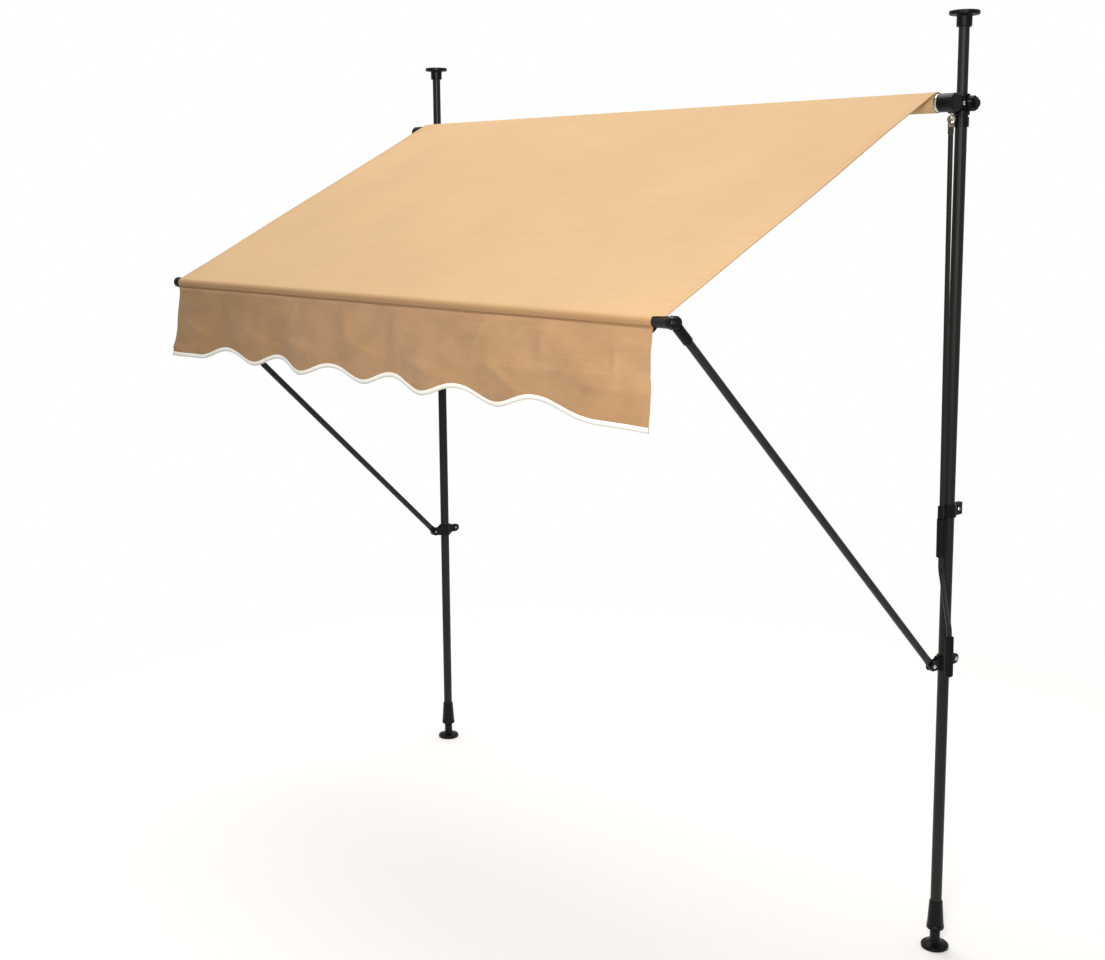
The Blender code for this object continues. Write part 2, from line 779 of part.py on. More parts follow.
def make_roller():
    """The roller: tube, end plugs with their shafts, bright end disc and the wound cloth."""
    axis = pivot_empty("roller", (0.0, roller_y, roller_height))
    axis.rotation_euler = (0.0, math.pi / 2, 0.0)
    left = cloth_left_at_roller - touch_gap
    bore = roller_tube_radius - roller_tube_wall
    tube = turned_ring("roller_tube", roller_tube_radius, bore, left, cloth_right_at_roller)
    place(tube, zinc, axis)

    plug_radius = bore - touch_gap
    flange = end_disc_thickness
    right_plug = [
        (0.0, floor_of_gear() - touch_gap),
        (roller_shaft_radius, floor_of_gear() - touch_gap),
        (roller_shaft_radius, disc_start + 0.002),
        (plug_radius, cloth_right_at_roller - 0.002),
        (plug_radius, cloth_right_at_roller - roller_plug_length),
        (0.0, cloth_right_at_roller - roller_plug_length),
    ]
    place(turned("roller_plug_right", right_plug, medium_steps), zinc, axis)

    left_plug = [
        (0.0, left + roller_plug_length),
        (plug_radius, left + roller_plug_length),
        (plug_radius, left - touch_gap),
        (end_disc_radius, left - touch_gap),
        (end_disc_radius, left - flange),
        (roller_shaft_radius * 1.8, left - flange - 0.004),
        (roller_shaft_radius * 1.8, -(post_x - bracket_arm_half_width) + touch_gap),
        (roller_shaft_radius, -(post_x - bracket_arm_half_width) + touch_gap),
        (roller_shaft_radius, -(post_x + bracket_arm_half_width) - 0.003),
        (0.0, -(post_x + bracket_arm_half_width) - 0.003),
    ]
    place(turned("roller_plug_left", left_plug), zinc, axis)

    disc_bore = roller_shaft_radius + pin_clearance
    disc_profile = [
        (end_disc_radius - 0.0015, disc_start + flange),
        (end_disc_radius, disc_start + flange - 0.0015),
        (end_disc_radius, disc_start),
        (disc_bore + 0.006, disc_start),
        (disc_bore, disc_start + 0.004),
        (disc_bore, disc_start + flange),
    ]
    place(turned("roller_end_disc", disc_profile, closed=True), zinc, axis)

    steps = 32
    spiral = []
    for i in range(steps):
        angle = 2 * math.pi * i / steps
        radius = roll_radius - roll_lap_step * i / steps
        spiral.append((radius * math.cos(angle), radius * math.sin(angle)))
    core = arc((0.0, 0.0), roller_tube_radius + touch_gap, 0.0, 360.0, round_steps)[:-1]
    width = cloth_right_at_roller - cloth_left_at_roller
    roll = flat_outline("fabric_roll", [spiral, core], width)
    roll.location.z = (cloth_right_at_roller + cloth_left_at_roller) / 2
    place(roll, sand, axis)


def floor_of_gear():
    """The inner face of the gear housing's closed end."""
    return barrel_end - gear_barrel_wall


def make_arm(label, side):
    """One drop arm: tube, flat tongue at the clamp and moulded knuckle at the bar."""
    pivot = (side * arm_plane_x, -arm_pivot_forward, arm_clamp_height)
    lean = math.pi / 2 - arm_angle
    arm = pivot_empty("arm_" + label, pivot, (lean, 0.0, 0.0))
    bore = arm_tube_radius - arm_tube_wall
    top = arm_length - arm_tube_end_gap
    tube = turned_ring("arm_tube_" + label, arm_tube_radius, bore, tongue_neck + touch_gap, top, medium_steps)
    place(tube, coated, arm)

    half_width = arm_tube_radius - 0.001
    outline = arc((0.0, 0.0), tongue_end_radius, 150.0, 390.0, 12)
    outline += [(half_width, tongue_neck), (-half_width, tongue_neck)]
    tongue = flat_outline("arm_tongue_" + label, [outline], 2 * tongue_half_thickness)
    turn = Matrix(((0, 0, 1), (1, 0, 0), (0, 1, 0))).to_4x4()
    tongue.data.transform(turn)
    place(tongue, moulded, arm)
    plug = turned_rod("tongue_plug_" + label, bore - touch_gap, tongue_neck - 0.006, tongue_neck + arm_plug_length)
    boolean(tongue, keep_as_cutter(plug, arm), "UNION")
    hole = turned_rod("tongue_hole_" + label, clamp_bolt_radius + pin_clearance, -0.02, 0.02)
    hole.rotation_euler = (0.0, math.pi / 2, 0.0)
    boolean(tongue, keep_as_cutter(hole, arm), "DIFFERENCE")

    shift = side * knuckle_shift
    knuckle_profile = [
        (0.0, knuckle_width / 2),
        (knuckle_radius - 0.0012, knuckle_width / 2),
        (knuckle_radius, knuckle_width / 2 - 0.0012),
        (knuckle_radius, -knuckle_width / 2 + 0.0012),
        (knuckle_radius - 0.0012, -knuckle_width / 2),
        (0.0, -knuckle_width / 2),
    ]
    head = turned("arm_head_" + label, knuckle_profile, medium_steps)
    head.rotation_euler = (0.0, math.pi / 2, 0.0)
    head.location = (shift, 0.0, arm_length)
    place(head, moulded, arm)
    socket_low = arm_length - 0.010 - arm_socket_length
    socket_high = arm_length - knuckle_radius + 0.0008
    socket = turned_rod("arm_socket_" + label, arm_socket_radius, socket_low, socket_high, medium_steps)
    boolean(head, keep_as_cutter(socket, arm), "UNION")
    half = knuckle_width / 2 - 0.0018
    neck = box("knuckle_neck_" + label, (shift - half, -half - 0.001, socket_high - 0.006),
               (shift + half, half + 0.001, arm_length - 0.006))
    boolean(head, keep_as_cutter(neck, arm), "UNION")
    seat = turned_rod("arm_seat_" + label, arm_tube_radius + touch_gap, socket_low - 0.01, top + touch_gap, medium_steps)
    boolean(head, keep_as_cutter(seat, arm), "DIFFERENCE")
    pin_hole = turned_rod("knuckle_hole_" + label, bar_pin_radius + pin_clearance, -0.03, 0.03)
    pin_hole.rotation_euler = (0.0, math.pi / 2, 0.0)
    pin_hole.location = (0.0, 0.0, arm_length)
    boolean(head, keep_as_cutter(pin_hole, arm), "DIFFERENCE")


def clamp_outline(ear_gap):
    """Half a tube clamp seen from above, for the half on +X. The arm's ear starts at ear_gap."""
    inner = main_tube_radius + touch_gap
    outer = inner + clamp_wall
    ear_outer = ear_gap + clamp_ear_thickness
    back_outer = clamp_split + clamp_ear_thickness
    split_angle = math.degrees(math.acos(clamp_split / inner))
    reach = clamp_ear_reach + 0.004
    points = arc((0.0, 0.0), inner, split_angle, -split_angle, 9)
    if ear_gap > clamp_split + 0.001:
        points += [(clamp_split, -outer), (ear_gap, -outer - 0.006)]
    points += [(ear_gap, -reach), (ear_outer, -reach)]
    front_angle = -math.degrees(math.acos(ear_outer / outer))
    back_angle = math.degrees(math.acos(back_outer / outer))
    points += arc((0.0, 0.0), outer, front_angle, back_angle, 7)
    points += [(back_outer, reach), (clamp_split, reach)]
    return points


def clamp_side_view():
    """The clamp seen from its side: a tall collar with two lower round-ended ears."""
    collar = main_tube_radius + clamp_wall + 0.004
    round_centre = clamp_ear_reach - clamp_ear_half_height
    front = arc((-round_centre, 0.0), clamp_ear_half_height, 90.0, 270.0, 6)
    back = arc((round_centre, 0.0), clamp_ear_half_height, -90.0, 90.0, 6)
    slope = 0.006
    lower = [(-collar - slope, -clamp_ear_half_height), (-collar, -clamp_half_height),
             (collar, -clamp_half_height), (collar + slope, -clamp_ear_half_height)]
    upper = [(-a, -b) for a, b in lower]
    return front + lower + back + upper


def make_clamp(label, side):
    """The two clamp halves on the main tube, with the arm's pivot bolt and the clamp bolt."""
    x = side * post_x
    ear_gaps = {"outer": clamp_split, "inner": tongue_half_thickness - arm_offset + swing_gap}
    for half, ear_gap in ear_gaps.items():
        way = side if half == "outer" else -side
        outline = [(a * way, b) for a, b in clamp_outline(ear_gap)]
        clamp = flat_outline("clamp_" + half + "_" + label, [outline], 2 * clamp_half_height + 0.010)
        clamp.location = (x, 0.0, arm_clamp_height)
        place(clamp, moulded)
        view = flat_outline("clamp_view_" + half + "_" + label, [clamp_side_view()], 0.08)
        view.data.transform(Matrix(((0, 0, 1), (1, 0, 0), (0, 1, 0))).to_4x4())
        view.location = (x, 0.0, arm_clamp_height)
        boolean(clamp, keep_as_cutter(view), "INTERSECT")
        for name, y in (("pivot", -arm_pivot_forward), ("bolt", arm_pivot_forward)):
            hole = rod_tool("clamp_" + name + "_hole_" + half + "_" + label, clamp_bolt_radius + pin_clearance,
                            side, post_x - 0.03, post_x + 0.03, y, arm_clamp_height)
            boolean(clamp, hole, "DIFFERENCE")
    outer_face = clamp_split + clamp_ear_thickness
    inner_gaps = {"arm_pivot_bolt_": (-arm_pivot_forward, ear_gaps["inner"]),
                  "clamp_bolt_": (arm_pivot_forward, clamp_split)}
    for name, (y, inner_gap) in inner_gaps.items():
        reach = outer_face + inner_gap + clamp_ear_thickness
        bolt = headed_bolt(name + label, clamp_bolt_radius, reach, bolt_head_radius, bolt_head_height)
        bolt.rotation_euler = (0.0, side * math.pi / 2, 0.0)
        bolt.location = (x + side * (outer_face + touch_gap), y, arm_clamp_height)
        place(bolt, zinc)


def make_front_bar():
    """The front bar with its two end plugs, pivot pins and caps."""
    bar = pivot_empty("front_bar_axis", (0.0, bar_y, bar_z))
    bore = bar_radius - bar_wall
    tube = turned_ring("front_bar", bar_radius, bore, -bar_end_x, bar_end_x)
    tube.rotation_euler = (0.0, math.pi / 2, 0.0)
    place(tube, coated, bar)
    for label, side in sides.items():
        pin_end = knuckle_outer + touch_gap + pivot_cap_thickness - pivot_cap_floor - touch_gap
        profile = [
            (0.0, pin_end),
            (bar_pin_radius, pin_end),
            (bar_pin_radius, knuckle_inner - touch_gap),
            (bar_radius - 0.0005, knuckle_inner - touch_gap),
            (bar_radius - 0.0005, bar_end_x + touch_gap),
            (bore - touch_gap, bar_end_x + touch_gap),
            (bore - touch_gap, bar_end_x - bar_plug_length),
            (0.0, bar_end_x - bar_plug_length),
        ]
        plug = turned("bar_plug_" + label, profile, medium_steps)
        plug.rotation_euler = (0.0, side * math.pi / 2, 0.0)
        place(plug, moulded, bar)
        cap_low = knuckle_outer + touch_gap
        cap_high = cap_low + pivot_cap_thickness
        hole = bar_pin_radius + touch_gap
        cap_profile = [
            (0.0, cap_high),
            (pivot_cap_radius - 0.0025, cap_high),
            (pivot_cap_radius, cap_high - 0.0020),
            (pivot_cap_radius, cap_low),
            (hole, cap_low),
            (hole, cap_high - pivot_cap_floor),
            (0.0, cap_high - pivot_cap_floor),
        ]
        cap = turned("pivot_cap_" + label, cap_profile, medium_steps)
        cap.rotation_euler = (0.0, side * math.pi / 2, 0.0)
        place(cap, moulded, bar)


def canopy_path():
    """The cloth's middle line in the YZ plane: off the roll, down to the bar and round its front."""
    roll = roll_radius + touch_gap + cloth_thickness / 2
    round_bar = hem_outer + touch_gap + cloth_thickness / 2
    across = Vector((bar_y - roller_y, bar_z - roller_height))
    slope = math.degrees(math.atan2(-across.y, -across.x))
    lean = math.degrees(math.asin((roll - round_bar) / across.length))
    leave = 90.0 + slope - lean
    on_roll = arc((roller_y, roller_height), roll, canopy_lap_start, leave, 3)
    on_bar = arc((bar_y, bar_z), round_bar, leave, canopy_lap_end, 6)
    free_steps = 6
    start = Vector(on_roll[-1])
    end = Vector(on_bar[0])
    free = []
    for i in range(1, free_steps):
        share = i / free_steps
        free.append(tuple(start.lerp(end, share)))
    return on_roll, free, on_bar


def make_canopy():
    """The sloping cloth. It hangs a little between its two straight edges."""
    on_roll, free, on_bar = canopy_path()
    path = on_roll + free + on_bar
    rows = len(path) - 1
    first_free = len(on_roll) - 1
    last_free = len(on_roll) + len(free)

    def point_at(u, v):
        row = int(round(v * rows))
        y, z = path[row]
        share = min(max((row - first_free) / (last_free - first_free), 0.0), 1.0)
        left = cloth_left_at_roller + (canopy_left_at_bar - cloth_left_at_roller) * share
        right = cloth_right_at_roller + (canopy_right_at_bar - cloth_right_at_roller) * share
        if row > last_free:
            right = hem_right
        edge = math.sin(math.pi * u)
        sag = canopy_sag * math.sin(math.pi * share) * (0.35 + 0.65 * edge)
        return Vector((left + (right - left) * u, y, z - sag))

    place(cloth_sheet("canopy", 12, rows, point_at, cloth_thickness), sand)


def make_hem():
    """The sleeve of cloth sewn round the front bar, with the tail that the valance is sewn to."""
    half_tail = cloth_thickness * 1.2
    back = -hem_tail_forward + half_tail
    front = -hem_tail_forward - half_tail
    start = math.degrees(math.atan2(-math.sqrt(hem_outer ** 2 - back ** 2), back))
    end = math.degrees(math.atan2(-math.sqrt(hem_outer ** 2 - front ** 2), front)) + 360.0
    outer = arc((0.0, 0.0), hem_outer, start, end, round_steps)
    tail = [(front, -hem_tail_drop), (back, -hem_tail_drop)]
    inner = arc((0.0, 0.0), hem_inner, 0.0, 360.0, round_steps)[:-1]
    hem = flat_outline("hem_sleeve", [outer + tail, inner], hem_right - hem_left)
    hem.data.transform(Matrix(((0, 0, 1), (1, 0, 0), (0, 1, 0))).to_4x4())
    hem.location = ((hem_right + hem_left) / 2, bar_y, bar_z)
    place(hem, sand)


def valance_edge(x):
    """How far the valance hangs below the bar's axis at x: notches between two plain ends."""
    hang = valance_drop + valance_skew * (x - hem_left) / (hem_right - hem_left)
    if x < first_notch - scallop_pitch / 2 or x > last_notch + last_scallop_reach:
        return hang
    turn = (x - first_notch) / scallop_pitch
    if x > last_notch:
        turn = (x - last_notch) / (2 * last_scallop_reach)
    return hang - scallop_height * (1 + math.cos(2 * math.pi * turn)) / 2


def valance_point(x, drop):
    """A point of the hanging valance: soft folds that grow towards its lower edge."""
    share = max(drop - fold_start, 0.0) / (valance_drop - fold_start)
    fold = math.sin(2 * math.pi * (x / 0.52 + 0.35 * share))
    fold += 0.55 * math.sin(2 * math.pi * (x / 0.27 - 0.25 * share) + 0.8)
    reach = (x - hem_left) / (hem_right - hem_left)
    near_left = math.exp(-(((x - hem_left) / 0.11) ** 2))
    near_right = math.exp(-(((x - hem_right) / 0.16) ** 2))
    calm = 1.0 - 0.9 * near_left - 0.6 * near_right
    y = valance_y + valance_fold_depth * share * calm * fold - 0.003 * share
    y -= corner_curl * near_left * share ** 2 + 0.2 * corner_curl * near_right * share ** 2
    flare = -corner_flare * (1.0 - reach) ** 3
    return Vector((x + flare * share, y, bar_z - drop))


def make_valance():
    """The hanging strip with the scalloped edge, and the white tape folded over that edge."""
    columns = 58
    width = hem_right - hem_left

    levels = 5

    def cloth_at(u, v):
        x = hem_left + width * u
        edge = valance_edge(x)
        row = int(round(v * levels))
        drop = fold_start + (edge - binding_height - fold_start) * (row - 1) / (levels - 2)
        if row == 0:
            drop = seam_drop
        if row == levels:
            drop = edge
        return valance_point(x, drop)

    place(cloth_sheet("valance", columns, levels, cloth_at, cloth_thickness), tan)

    offset = cloth_thickness / 2 + binding_gap + binding_thickness / 2
    section = [(-offset, -binding_height), (-offset, offset), (offset, offset), (offset, -binding_height)]
    rows = len(section) - 1

    def tape_at(u, v):
        x = hem_left + width * u
        across, down = section[int(round(v * rows))]
        edge = valance_edge(x)
        point = valance_point(x, edge + min(down, 0.0))
        point.y += across
        point.z -= max(down, 0.0)
        return point

    place(cloth_sheet("valance_binding", columns, rows, tape_at, binding_thickness), white)


def crank_corners():
    """The crank's corner points: top, bend, end of the slanted link and end of the handle."""
    throw = math.radians(crank_throw_angle)
    link_end = crank_bend + Vector((crank_throw * math.sin(throw), -crank_throw * math.cos(throw), -crank_link_drop))
    return [crank_top, crank_bend, link_end, link_end - crank_axis * crank_handle_length]


def point_along_to(thing, axis, location):
    """Place a turned piece with its height along an axis."""
    thing.rotation_mode = "QUATERNION"
    thing.rotation_quaternion = Vector((0.0, 0.0, 1.0)).rotation_difference(axis)
    thing.location = location
    return thing


def grip_profile(outer, length):
    """A sleeve grip with softly rounded ends, hanging down from Z = 0."""
    inner = crank_radius + pin_clearance
    return [(outer - 0.0015, 0.0), (outer, -0.0015), (outer, -length + 0.0015),
            (outer - 0.0015, -length), (inner, -length), (inner, 0.0)]


def make_crank():
    """The crank: bright clevis in the gear's eye, bent rod and two turning grips."""
    corners = crank_corners()
    place(rod_along("crank_rod", rounded_path(corners, crank_bend_radius), crank_radius), coated)

    body = turned_rod("crank_clevis", clevis_radius, -clevis_base_bottom, -clevis_base_top + 0.002, small_steps)
    body.location = eye_point
    place(body, zinc)
    for name, way in (("front", -1), ("back", 1)):
        near = way * clevis_slot_half
        far = way * (clevis_slot_half + clevis_cheek)
        low = (eye_point.x - clevis_radius * 0.7, eye_point.y + min(near, far), eye_point.z - clevis_base_top - 0.002)
        high = (eye_point.x + clevis_radius * 0.7, eye_point.y + max(near, far), eye_point.z + clevis_radius * 0.7)
        boolean(body, keep_as_cutter(box("clevis_cheek_" + name, low, high)), "UNION")
    reach = clevis_slot_half + clevis_cheek
    pin = turned_rod("clevis_pin", clevis_pin_radius, -reach - 0.001, reach + 0.001, small_steps)
    pin.rotation_euler = (math.pi / 2, 0.0, 0.0)
    pin.location = eye_point
    boolean(body, keep_as_cutter(pin), "UNION")

    rise = (crank_grip_top - crank_bend.z) / crank_axis.z
    upper = turned("crank_grip_upper", grip_profile(upper_grip_radius, upper_grip_length), medium_steps, closed=True)
    place(point_along_to(upper, crank_axis, crank_bend + crank_axis * rise), grip_black)
    lower = turned("crank_grip_lower", grip_profile(lower_grip_radius, lower_grip_length), medium_steps, closed=True)
    start = corners[2] - crank_axis * lower_grip_inset
    place(point_along_to(lower, crank_axis, start), grip_black)


def arc_crossing(radius, half):
    """The angle in degrees at which a circle crosses the line at a sideways distance."""
    return math.degrees(math.acos(half / radius))


def holder_outline(rod):
    """The crank holder seen from above: ring, slit ear at the back and open clip in front."""
    bore = main_tube_radius + touch_gap
    ring = holder_ring_radius
    slit = holder_slit_half
    ear = holder_ear_half
    neck = holder_neck_half
    points = [(slit, holder_ear_reach)]
    points += arc((0.0, 0.0), bore, arc_crossing(bore, slit), -180.0 - arc_crossing(bore, slit), 22)
    points += [(-slit, holder_ear_reach), (-ear, holder_ear_reach)]
    points += arc((0.0, 0.0), ring, 180.0 - arc_crossing(ring, ear), 180.0 + arc_crossing(ring, neck), 8)
    neck_angle = arc_crossing(holder_clip_radius, neck)
    points += arc(rod, holder_clip_radius, 180.0 - neck_angle, 360.0 - holder_mouth_angle, 8)
    points += arc(rod, crank_radius + holder_clip_play, 360.0 - holder_mouth_angle, holder_mouth_angle, 10)
    points += arc(rod, holder_clip_radius, holder_mouth_angle, neck_angle, 3)
    points += arc((0.0, 0.0), ring, -arc_crossing(ring, neck), arc_crossing(ring, ear), 8)
    points += [(ear, holder_ear_reach)]
    return points


def make_crank_holder():
    """The clip on the right post that the crank's rod rests in, with its clamping screw."""
    share = (holder_height - crank_bend.z) / (crank_top.z - crank_bend.z)
    rod = crank_bend.lerp(crank_top, share)
    outline = holder_outline((rod.x - post_x, rod.y))
    holder = flat_outline("crank_holder", [outline], 2 * holder_half_height)
    holder.location = (post_x, 0.0, holder_height)
    place(holder, moulded)
    screw_y = (holder_ring_radius + holder_ear_reach) / 2
    hole = rod_tool("holder_screw_hole", holder_screw_radius + pin_clearance, 1, post_x - 0.02, post_x + 0.02,
                    screw_y, holder_height)
    boolean(holder, hole, "DIFFERENCE")
    screw = headed_bolt("holder_screw", holder_screw_radius, 2 * holder_ear_half, 0.0042, 0.0028)
    screw.rotation_euler = (0.0, math.pi / 2, 0.0)
    screw.location = (post_x + holder_ear_half + touch_gap, screw_y, holder_height)
    place(screw, zinc)


def soften_shading():
    """Shade round surfaces smooth and keep real edges sharp."""
    for thing in awning.objects:
        if thing.type == "MESH" and not any(step.type == "SCREW" for step in thing.modifiers):
            thing.data.shade_smooth()
            thing.data.set_sharp_from_angle(angle=math.radians(35.0))


sides = {"left": -1, "right": 1}

for label, side in sides.items():
    make_post_tubes(label, side)
    make_foot(label, side)
    make_head_bracket(label, side)
    make_lock_knob(label, side)
    make_arm(label, side)
    make_clamp(label, side)

make_gear()
make_roller()
make_front_bar()
make_canopy()
make_hem()
make_valance()
make_crank()
make_crank_holder()
soften_shading()
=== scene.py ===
"""Looks of the fabric awning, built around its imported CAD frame.

Frame: metres, +Z up, the front faces -Y, the origin lies on the floor between the posts.
"""
import math

import bmesh
import bpy
from mathutils import Matrix, Vector, noise


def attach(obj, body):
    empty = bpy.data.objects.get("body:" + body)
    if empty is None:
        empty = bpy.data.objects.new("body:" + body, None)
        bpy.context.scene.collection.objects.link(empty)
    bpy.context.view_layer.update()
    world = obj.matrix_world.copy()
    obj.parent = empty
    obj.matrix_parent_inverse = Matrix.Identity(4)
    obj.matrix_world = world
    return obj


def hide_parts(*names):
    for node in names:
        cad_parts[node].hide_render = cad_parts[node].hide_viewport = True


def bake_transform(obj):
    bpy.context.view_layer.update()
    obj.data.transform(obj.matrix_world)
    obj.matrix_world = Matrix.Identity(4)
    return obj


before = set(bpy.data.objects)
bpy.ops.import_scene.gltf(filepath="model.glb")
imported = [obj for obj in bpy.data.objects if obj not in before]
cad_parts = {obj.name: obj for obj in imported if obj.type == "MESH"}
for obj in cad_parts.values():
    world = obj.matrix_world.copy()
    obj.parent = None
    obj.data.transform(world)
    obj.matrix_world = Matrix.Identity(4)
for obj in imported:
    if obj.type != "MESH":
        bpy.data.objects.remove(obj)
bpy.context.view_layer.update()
scene = bpy.context.scene
scene.view_settings.view_transform = "Standard"
pi = math.pi

# Places and sizes that part.py uses too
roller_y = -0.0746
roller_z = 2.100
roll_radius = 0.0236
bar_y = -0.969372
bar_z = 1.650039
bar_radius = 0.0125
hem_left = -0.977
hem_right = 0.946
seam_drop = 0.0135
tail_forward = 0.0070
tail_drop = 0.0225
fold_start = tail_drop + 0.002
valance_drop = 0.2085
valance_skew = 0.012
scallop_height = 0.029
scallop_pitch = 0.260
first_notch = -0.715
last_notch = 0.585
last_scallop_reach = 0.2185
fold_depth = 0.0075
corner_curl = 0.034
corner_flare = -0.010
binding_height = 0.010
cloth = 0.0010
gap = 0.0003
canopy_edges_roller = (-0.952, 0.985)
canopy_edges_bar = (-0.968, 0.983)
canopy_lap_start = 60.0
canopy_lap_end = 214.0
canopy_sag = 0.005
# Each ridge: its middle x, distance down, lean in degrees, half length, half width and height
valance_ridges = (
    (-0.560, 0.132, 18.0, 0.060, 0.012, 0.0042),
    (-0.337, 0.139, 8.0, 0.090, 0.012, 0.0045),
    (-0.034, 0.134, 13.0, 0.060, 0.012, 0.0040),
    (0.198, 0.151, 10.0, 0.085, 0.012, 0.0048),
    (0.485, 0.150, 24.0, 0.055, 0.012, 0.0045),
    (0.795, 0.142, 4.0, 0.080, 0.011, 0.0040),
    (0.670, 0.120, -2.0, 0.260, 0.009, 0.0030),
    (-0.362, 0.055, 121.0, 0.050, 0.009, 0.0036),
    (0.410, 0.052, 137.0, 0.038, 0.010, 0.0034),
    (-0.866, 0.128, 22.0, 0.075, 0.014, 0.0042),
    (0.844, 0.086, 85.0, 0.030, 0.010, 0.0018),
    (0.090, 0.060, 100.0, 0.060, 0.022, 0.0036),
    (-0.120, 0.070, 70.0, 0.055, 0.020, 0.0030),
    (-0.700, 0.065, 60.0, 0.050, 0.018, 0.0032),
    (0.620, 0.070, 95.0, 0.050, 0.024, 0.0026),
    (-0.940, 0.190, 10.0, 0.050, 0.010, 0.0040),
)
canopy_ridges = (
    (-0.470, 0.800, 118.0, 0.070, 0.007, 0.0013),
    (-0.425, 0.830, 116.0, 0.060, 0.006, 0.0013),
    (-0.380, 0.780, 120.0, 0.075, 0.007, 0.0014),
    (-0.330, 0.820, 118.0, 0.060, 0.007, 0.0012),
    (-0.285, 0.760, 122.0, 0.060, 0.008, 0.0010),
    (-0.210, 0.850, 124.0, 0.050, 0.007, 0.0009),
    (-0.640, 0.870, 112.0, 0.050, 0.008, 0.0010),
    (-0.620, 0.550, 110.0, 0.120, 0.020, 0.0012),
    (0.150, 0.870, 125.0, 0.100, 0.016, 0.0012),
    (0.330, 0.800, 120.0, 0.120, 0.018, 0.0010),
    (0.550, 0.600, 105.0, 0.140, 0.024, 0.0011),
    (-0.100, 0.350, 100.0, 0.160, 0.026, 0.0012),
    (0.720, 0.870, 112.0, 0.090, 0.015, 0.0010),
    (-0.800, 0.860, 70.0, 0.080, 0.014, 0.0012),
    (0.300, 0.250, 80.0, 0.140, 0.022, 0.0010),
    (-0.500, 0.200, 95.0, 0.120, 0.020, 0.0010),
)
hem_inner = bar_radius + gap
hem_outer = hem_inner + cloth
tail_half = cloth * 1.2
valance_y = bar_y - tail_forward - tail_half - gap - cloth / 2
fold_pitch = 0.52
fold_pitch_fine = 0.27
left_curl_reach = 0.11
right_curl_reach = 0.16
clevis_boot_top = 2.046

# Sizes that only the looks need
crease_angle = 45.0
middle_columns = 190
edge_columns = 16
edge_band = 0.030
canopy_columns = middle_columns + 2 * edge_columns
canopy_wave_height = 0.0035
canopy_pull_height = 0.0018
side_seam = 0.018
side_hem_rise = 0.0006
groove_depth = 0.0007
groove_width = 0.0018
ridge_gain = 1.5
top_hem_rise = 0.0032
top_hem_width = 0.0040
crumple_height = 0.0040
fine_crumple_height = 0.0013
seam_wander = 0.0022
roll_core_radius = 0.0193
roll_turns = 5.2
turn_step = 0.0008
turn_notch = 0.0009
roll_swell = 0.00025
stitch_step = 0.0045
stitch_share = 0.66
stitch_half_width = 0.00032
stitch_height = 0.00034
# Each station: how far along the stitch, and how thick the thread is there
stitch_stations = ((0.0, 0.45), (0.22, 1.0), (0.78, 1.0), (1.0, 0.45))
stitch_lift = cloth * 0.62
seam_margin = 0.02
top_seam_levels = (0.0032, 0.0075)
end_seam_inset = 0.012
tape_thickness = 0.0006
tape_offset = cloth / 2 + 0.0007
tape_seam_height = binding_height * 0.72
tape_stitch_lift = tape_offset * 1.12 + 0.0004


def make_camera():
    """The photograph's viewpoint, which was measured from the posts, the bar and the roller."""
    place = (2.956, -3.0516, 1.9045)
    yaw = math.radians(48.0294)
    pitch = math.radians(8.3907)
    roll = math.radians(-0.4400)
    ahead = Vector((-math.sin(yaw) * math.cos(pitch), math.cos(yaw) * math.cos(pitch), -math.sin(pitch)))
    right = Vector((math.cos(yaw), math.sin(yaw), 0.0))
    up = right.cross(ahead)
    right_rolled = right * math.cos(roll) + up * math.sin(roll)
    up_rolled = up * math.cos(roll) - right * math.sin(roll)
    data = bpy.data.cameras.new("camera")
    data.sensor_width = 36.0
    data.lens = 47.865
    data.shift_y = -0.0648
    camera = bpy.data.objects.new("camera", data)
    turn = Matrix((right_rolled, up_rolled, -ahead)).transposed()
    camera.matrix_world = Matrix.Translation(place) @ turn.to_4x4()
    scene.collection.objects.link(camera)
    scene.camera = camera


def new_nodes(name, colour, roughness, metallic=0.0):
    """A Principled material and its node tree."""
    made = bpy.data.materials.new(name)
    made.use_nodes = True
    tree = made.node_tree
    shader = tree.nodes["Principled BSDF"]
    shader.inputs["Base Color"].default_value = (*colour, 1.0)
    shader.inputs["Roughness"].default_value = roughness
    shader.inputs["Metallic"].default_value = metallic
    return made, tree, shader


def object_coords(tree, scale=(1.0, 1.0, 1.0)):
    """The point on the piece in metres, stretched by scale."""
    place = tree.nodes.new("ShaderNodeTexCoord")
    mapping = tree.nodes.new("ShaderNodeMapping")
    mapping.inputs["Scale"].default_value = scale
    tree.links.new(place.outputs["Object"], mapping.inputs["Vector"])
    return mapping.outputs["Vector"]


def noise_field(tree, vector, scale, detail, roughness):
    """Cloudy noise between 0 and 1."""
    node = tree.nodes.new("ShaderNodeTexNoise")
    node.inputs["Scale"].default_value = scale
    node.inputs["Detail"].default_value = detail
    node.inputs["Roughness"].default_value = roughness
    tree.links.new(vector, node.inputs["Vector"])
    return node.outputs["Fac"]


def wave_field(tree, vector, scale, direction, distortion):
    """Straight bands between 0 and 1 across one direction."""
    node = tree.nodes.new("ShaderNodeTexWave")
    node.bands_direction = direction
    node.inputs["Scale"].default_value = scale
    node.inputs["Distortion"].default_value = distortion
    tree.links.new(vector, node.inputs["Vector"])
    return node.outputs["Fac"]


def maths(tree, operation, a, b):
    """One calculation on two values, each a number or another node's output."""
    node = tree.nodes.new("ShaderNodeMath")
    node.operation = operation
    for slot, value in zip(node.inputs, (a, b)):
        if isinstance(value, (int, float)):
            slot.default_value = value
        else:
            tree.links.new(value, slot)
    return node.outputs[0]


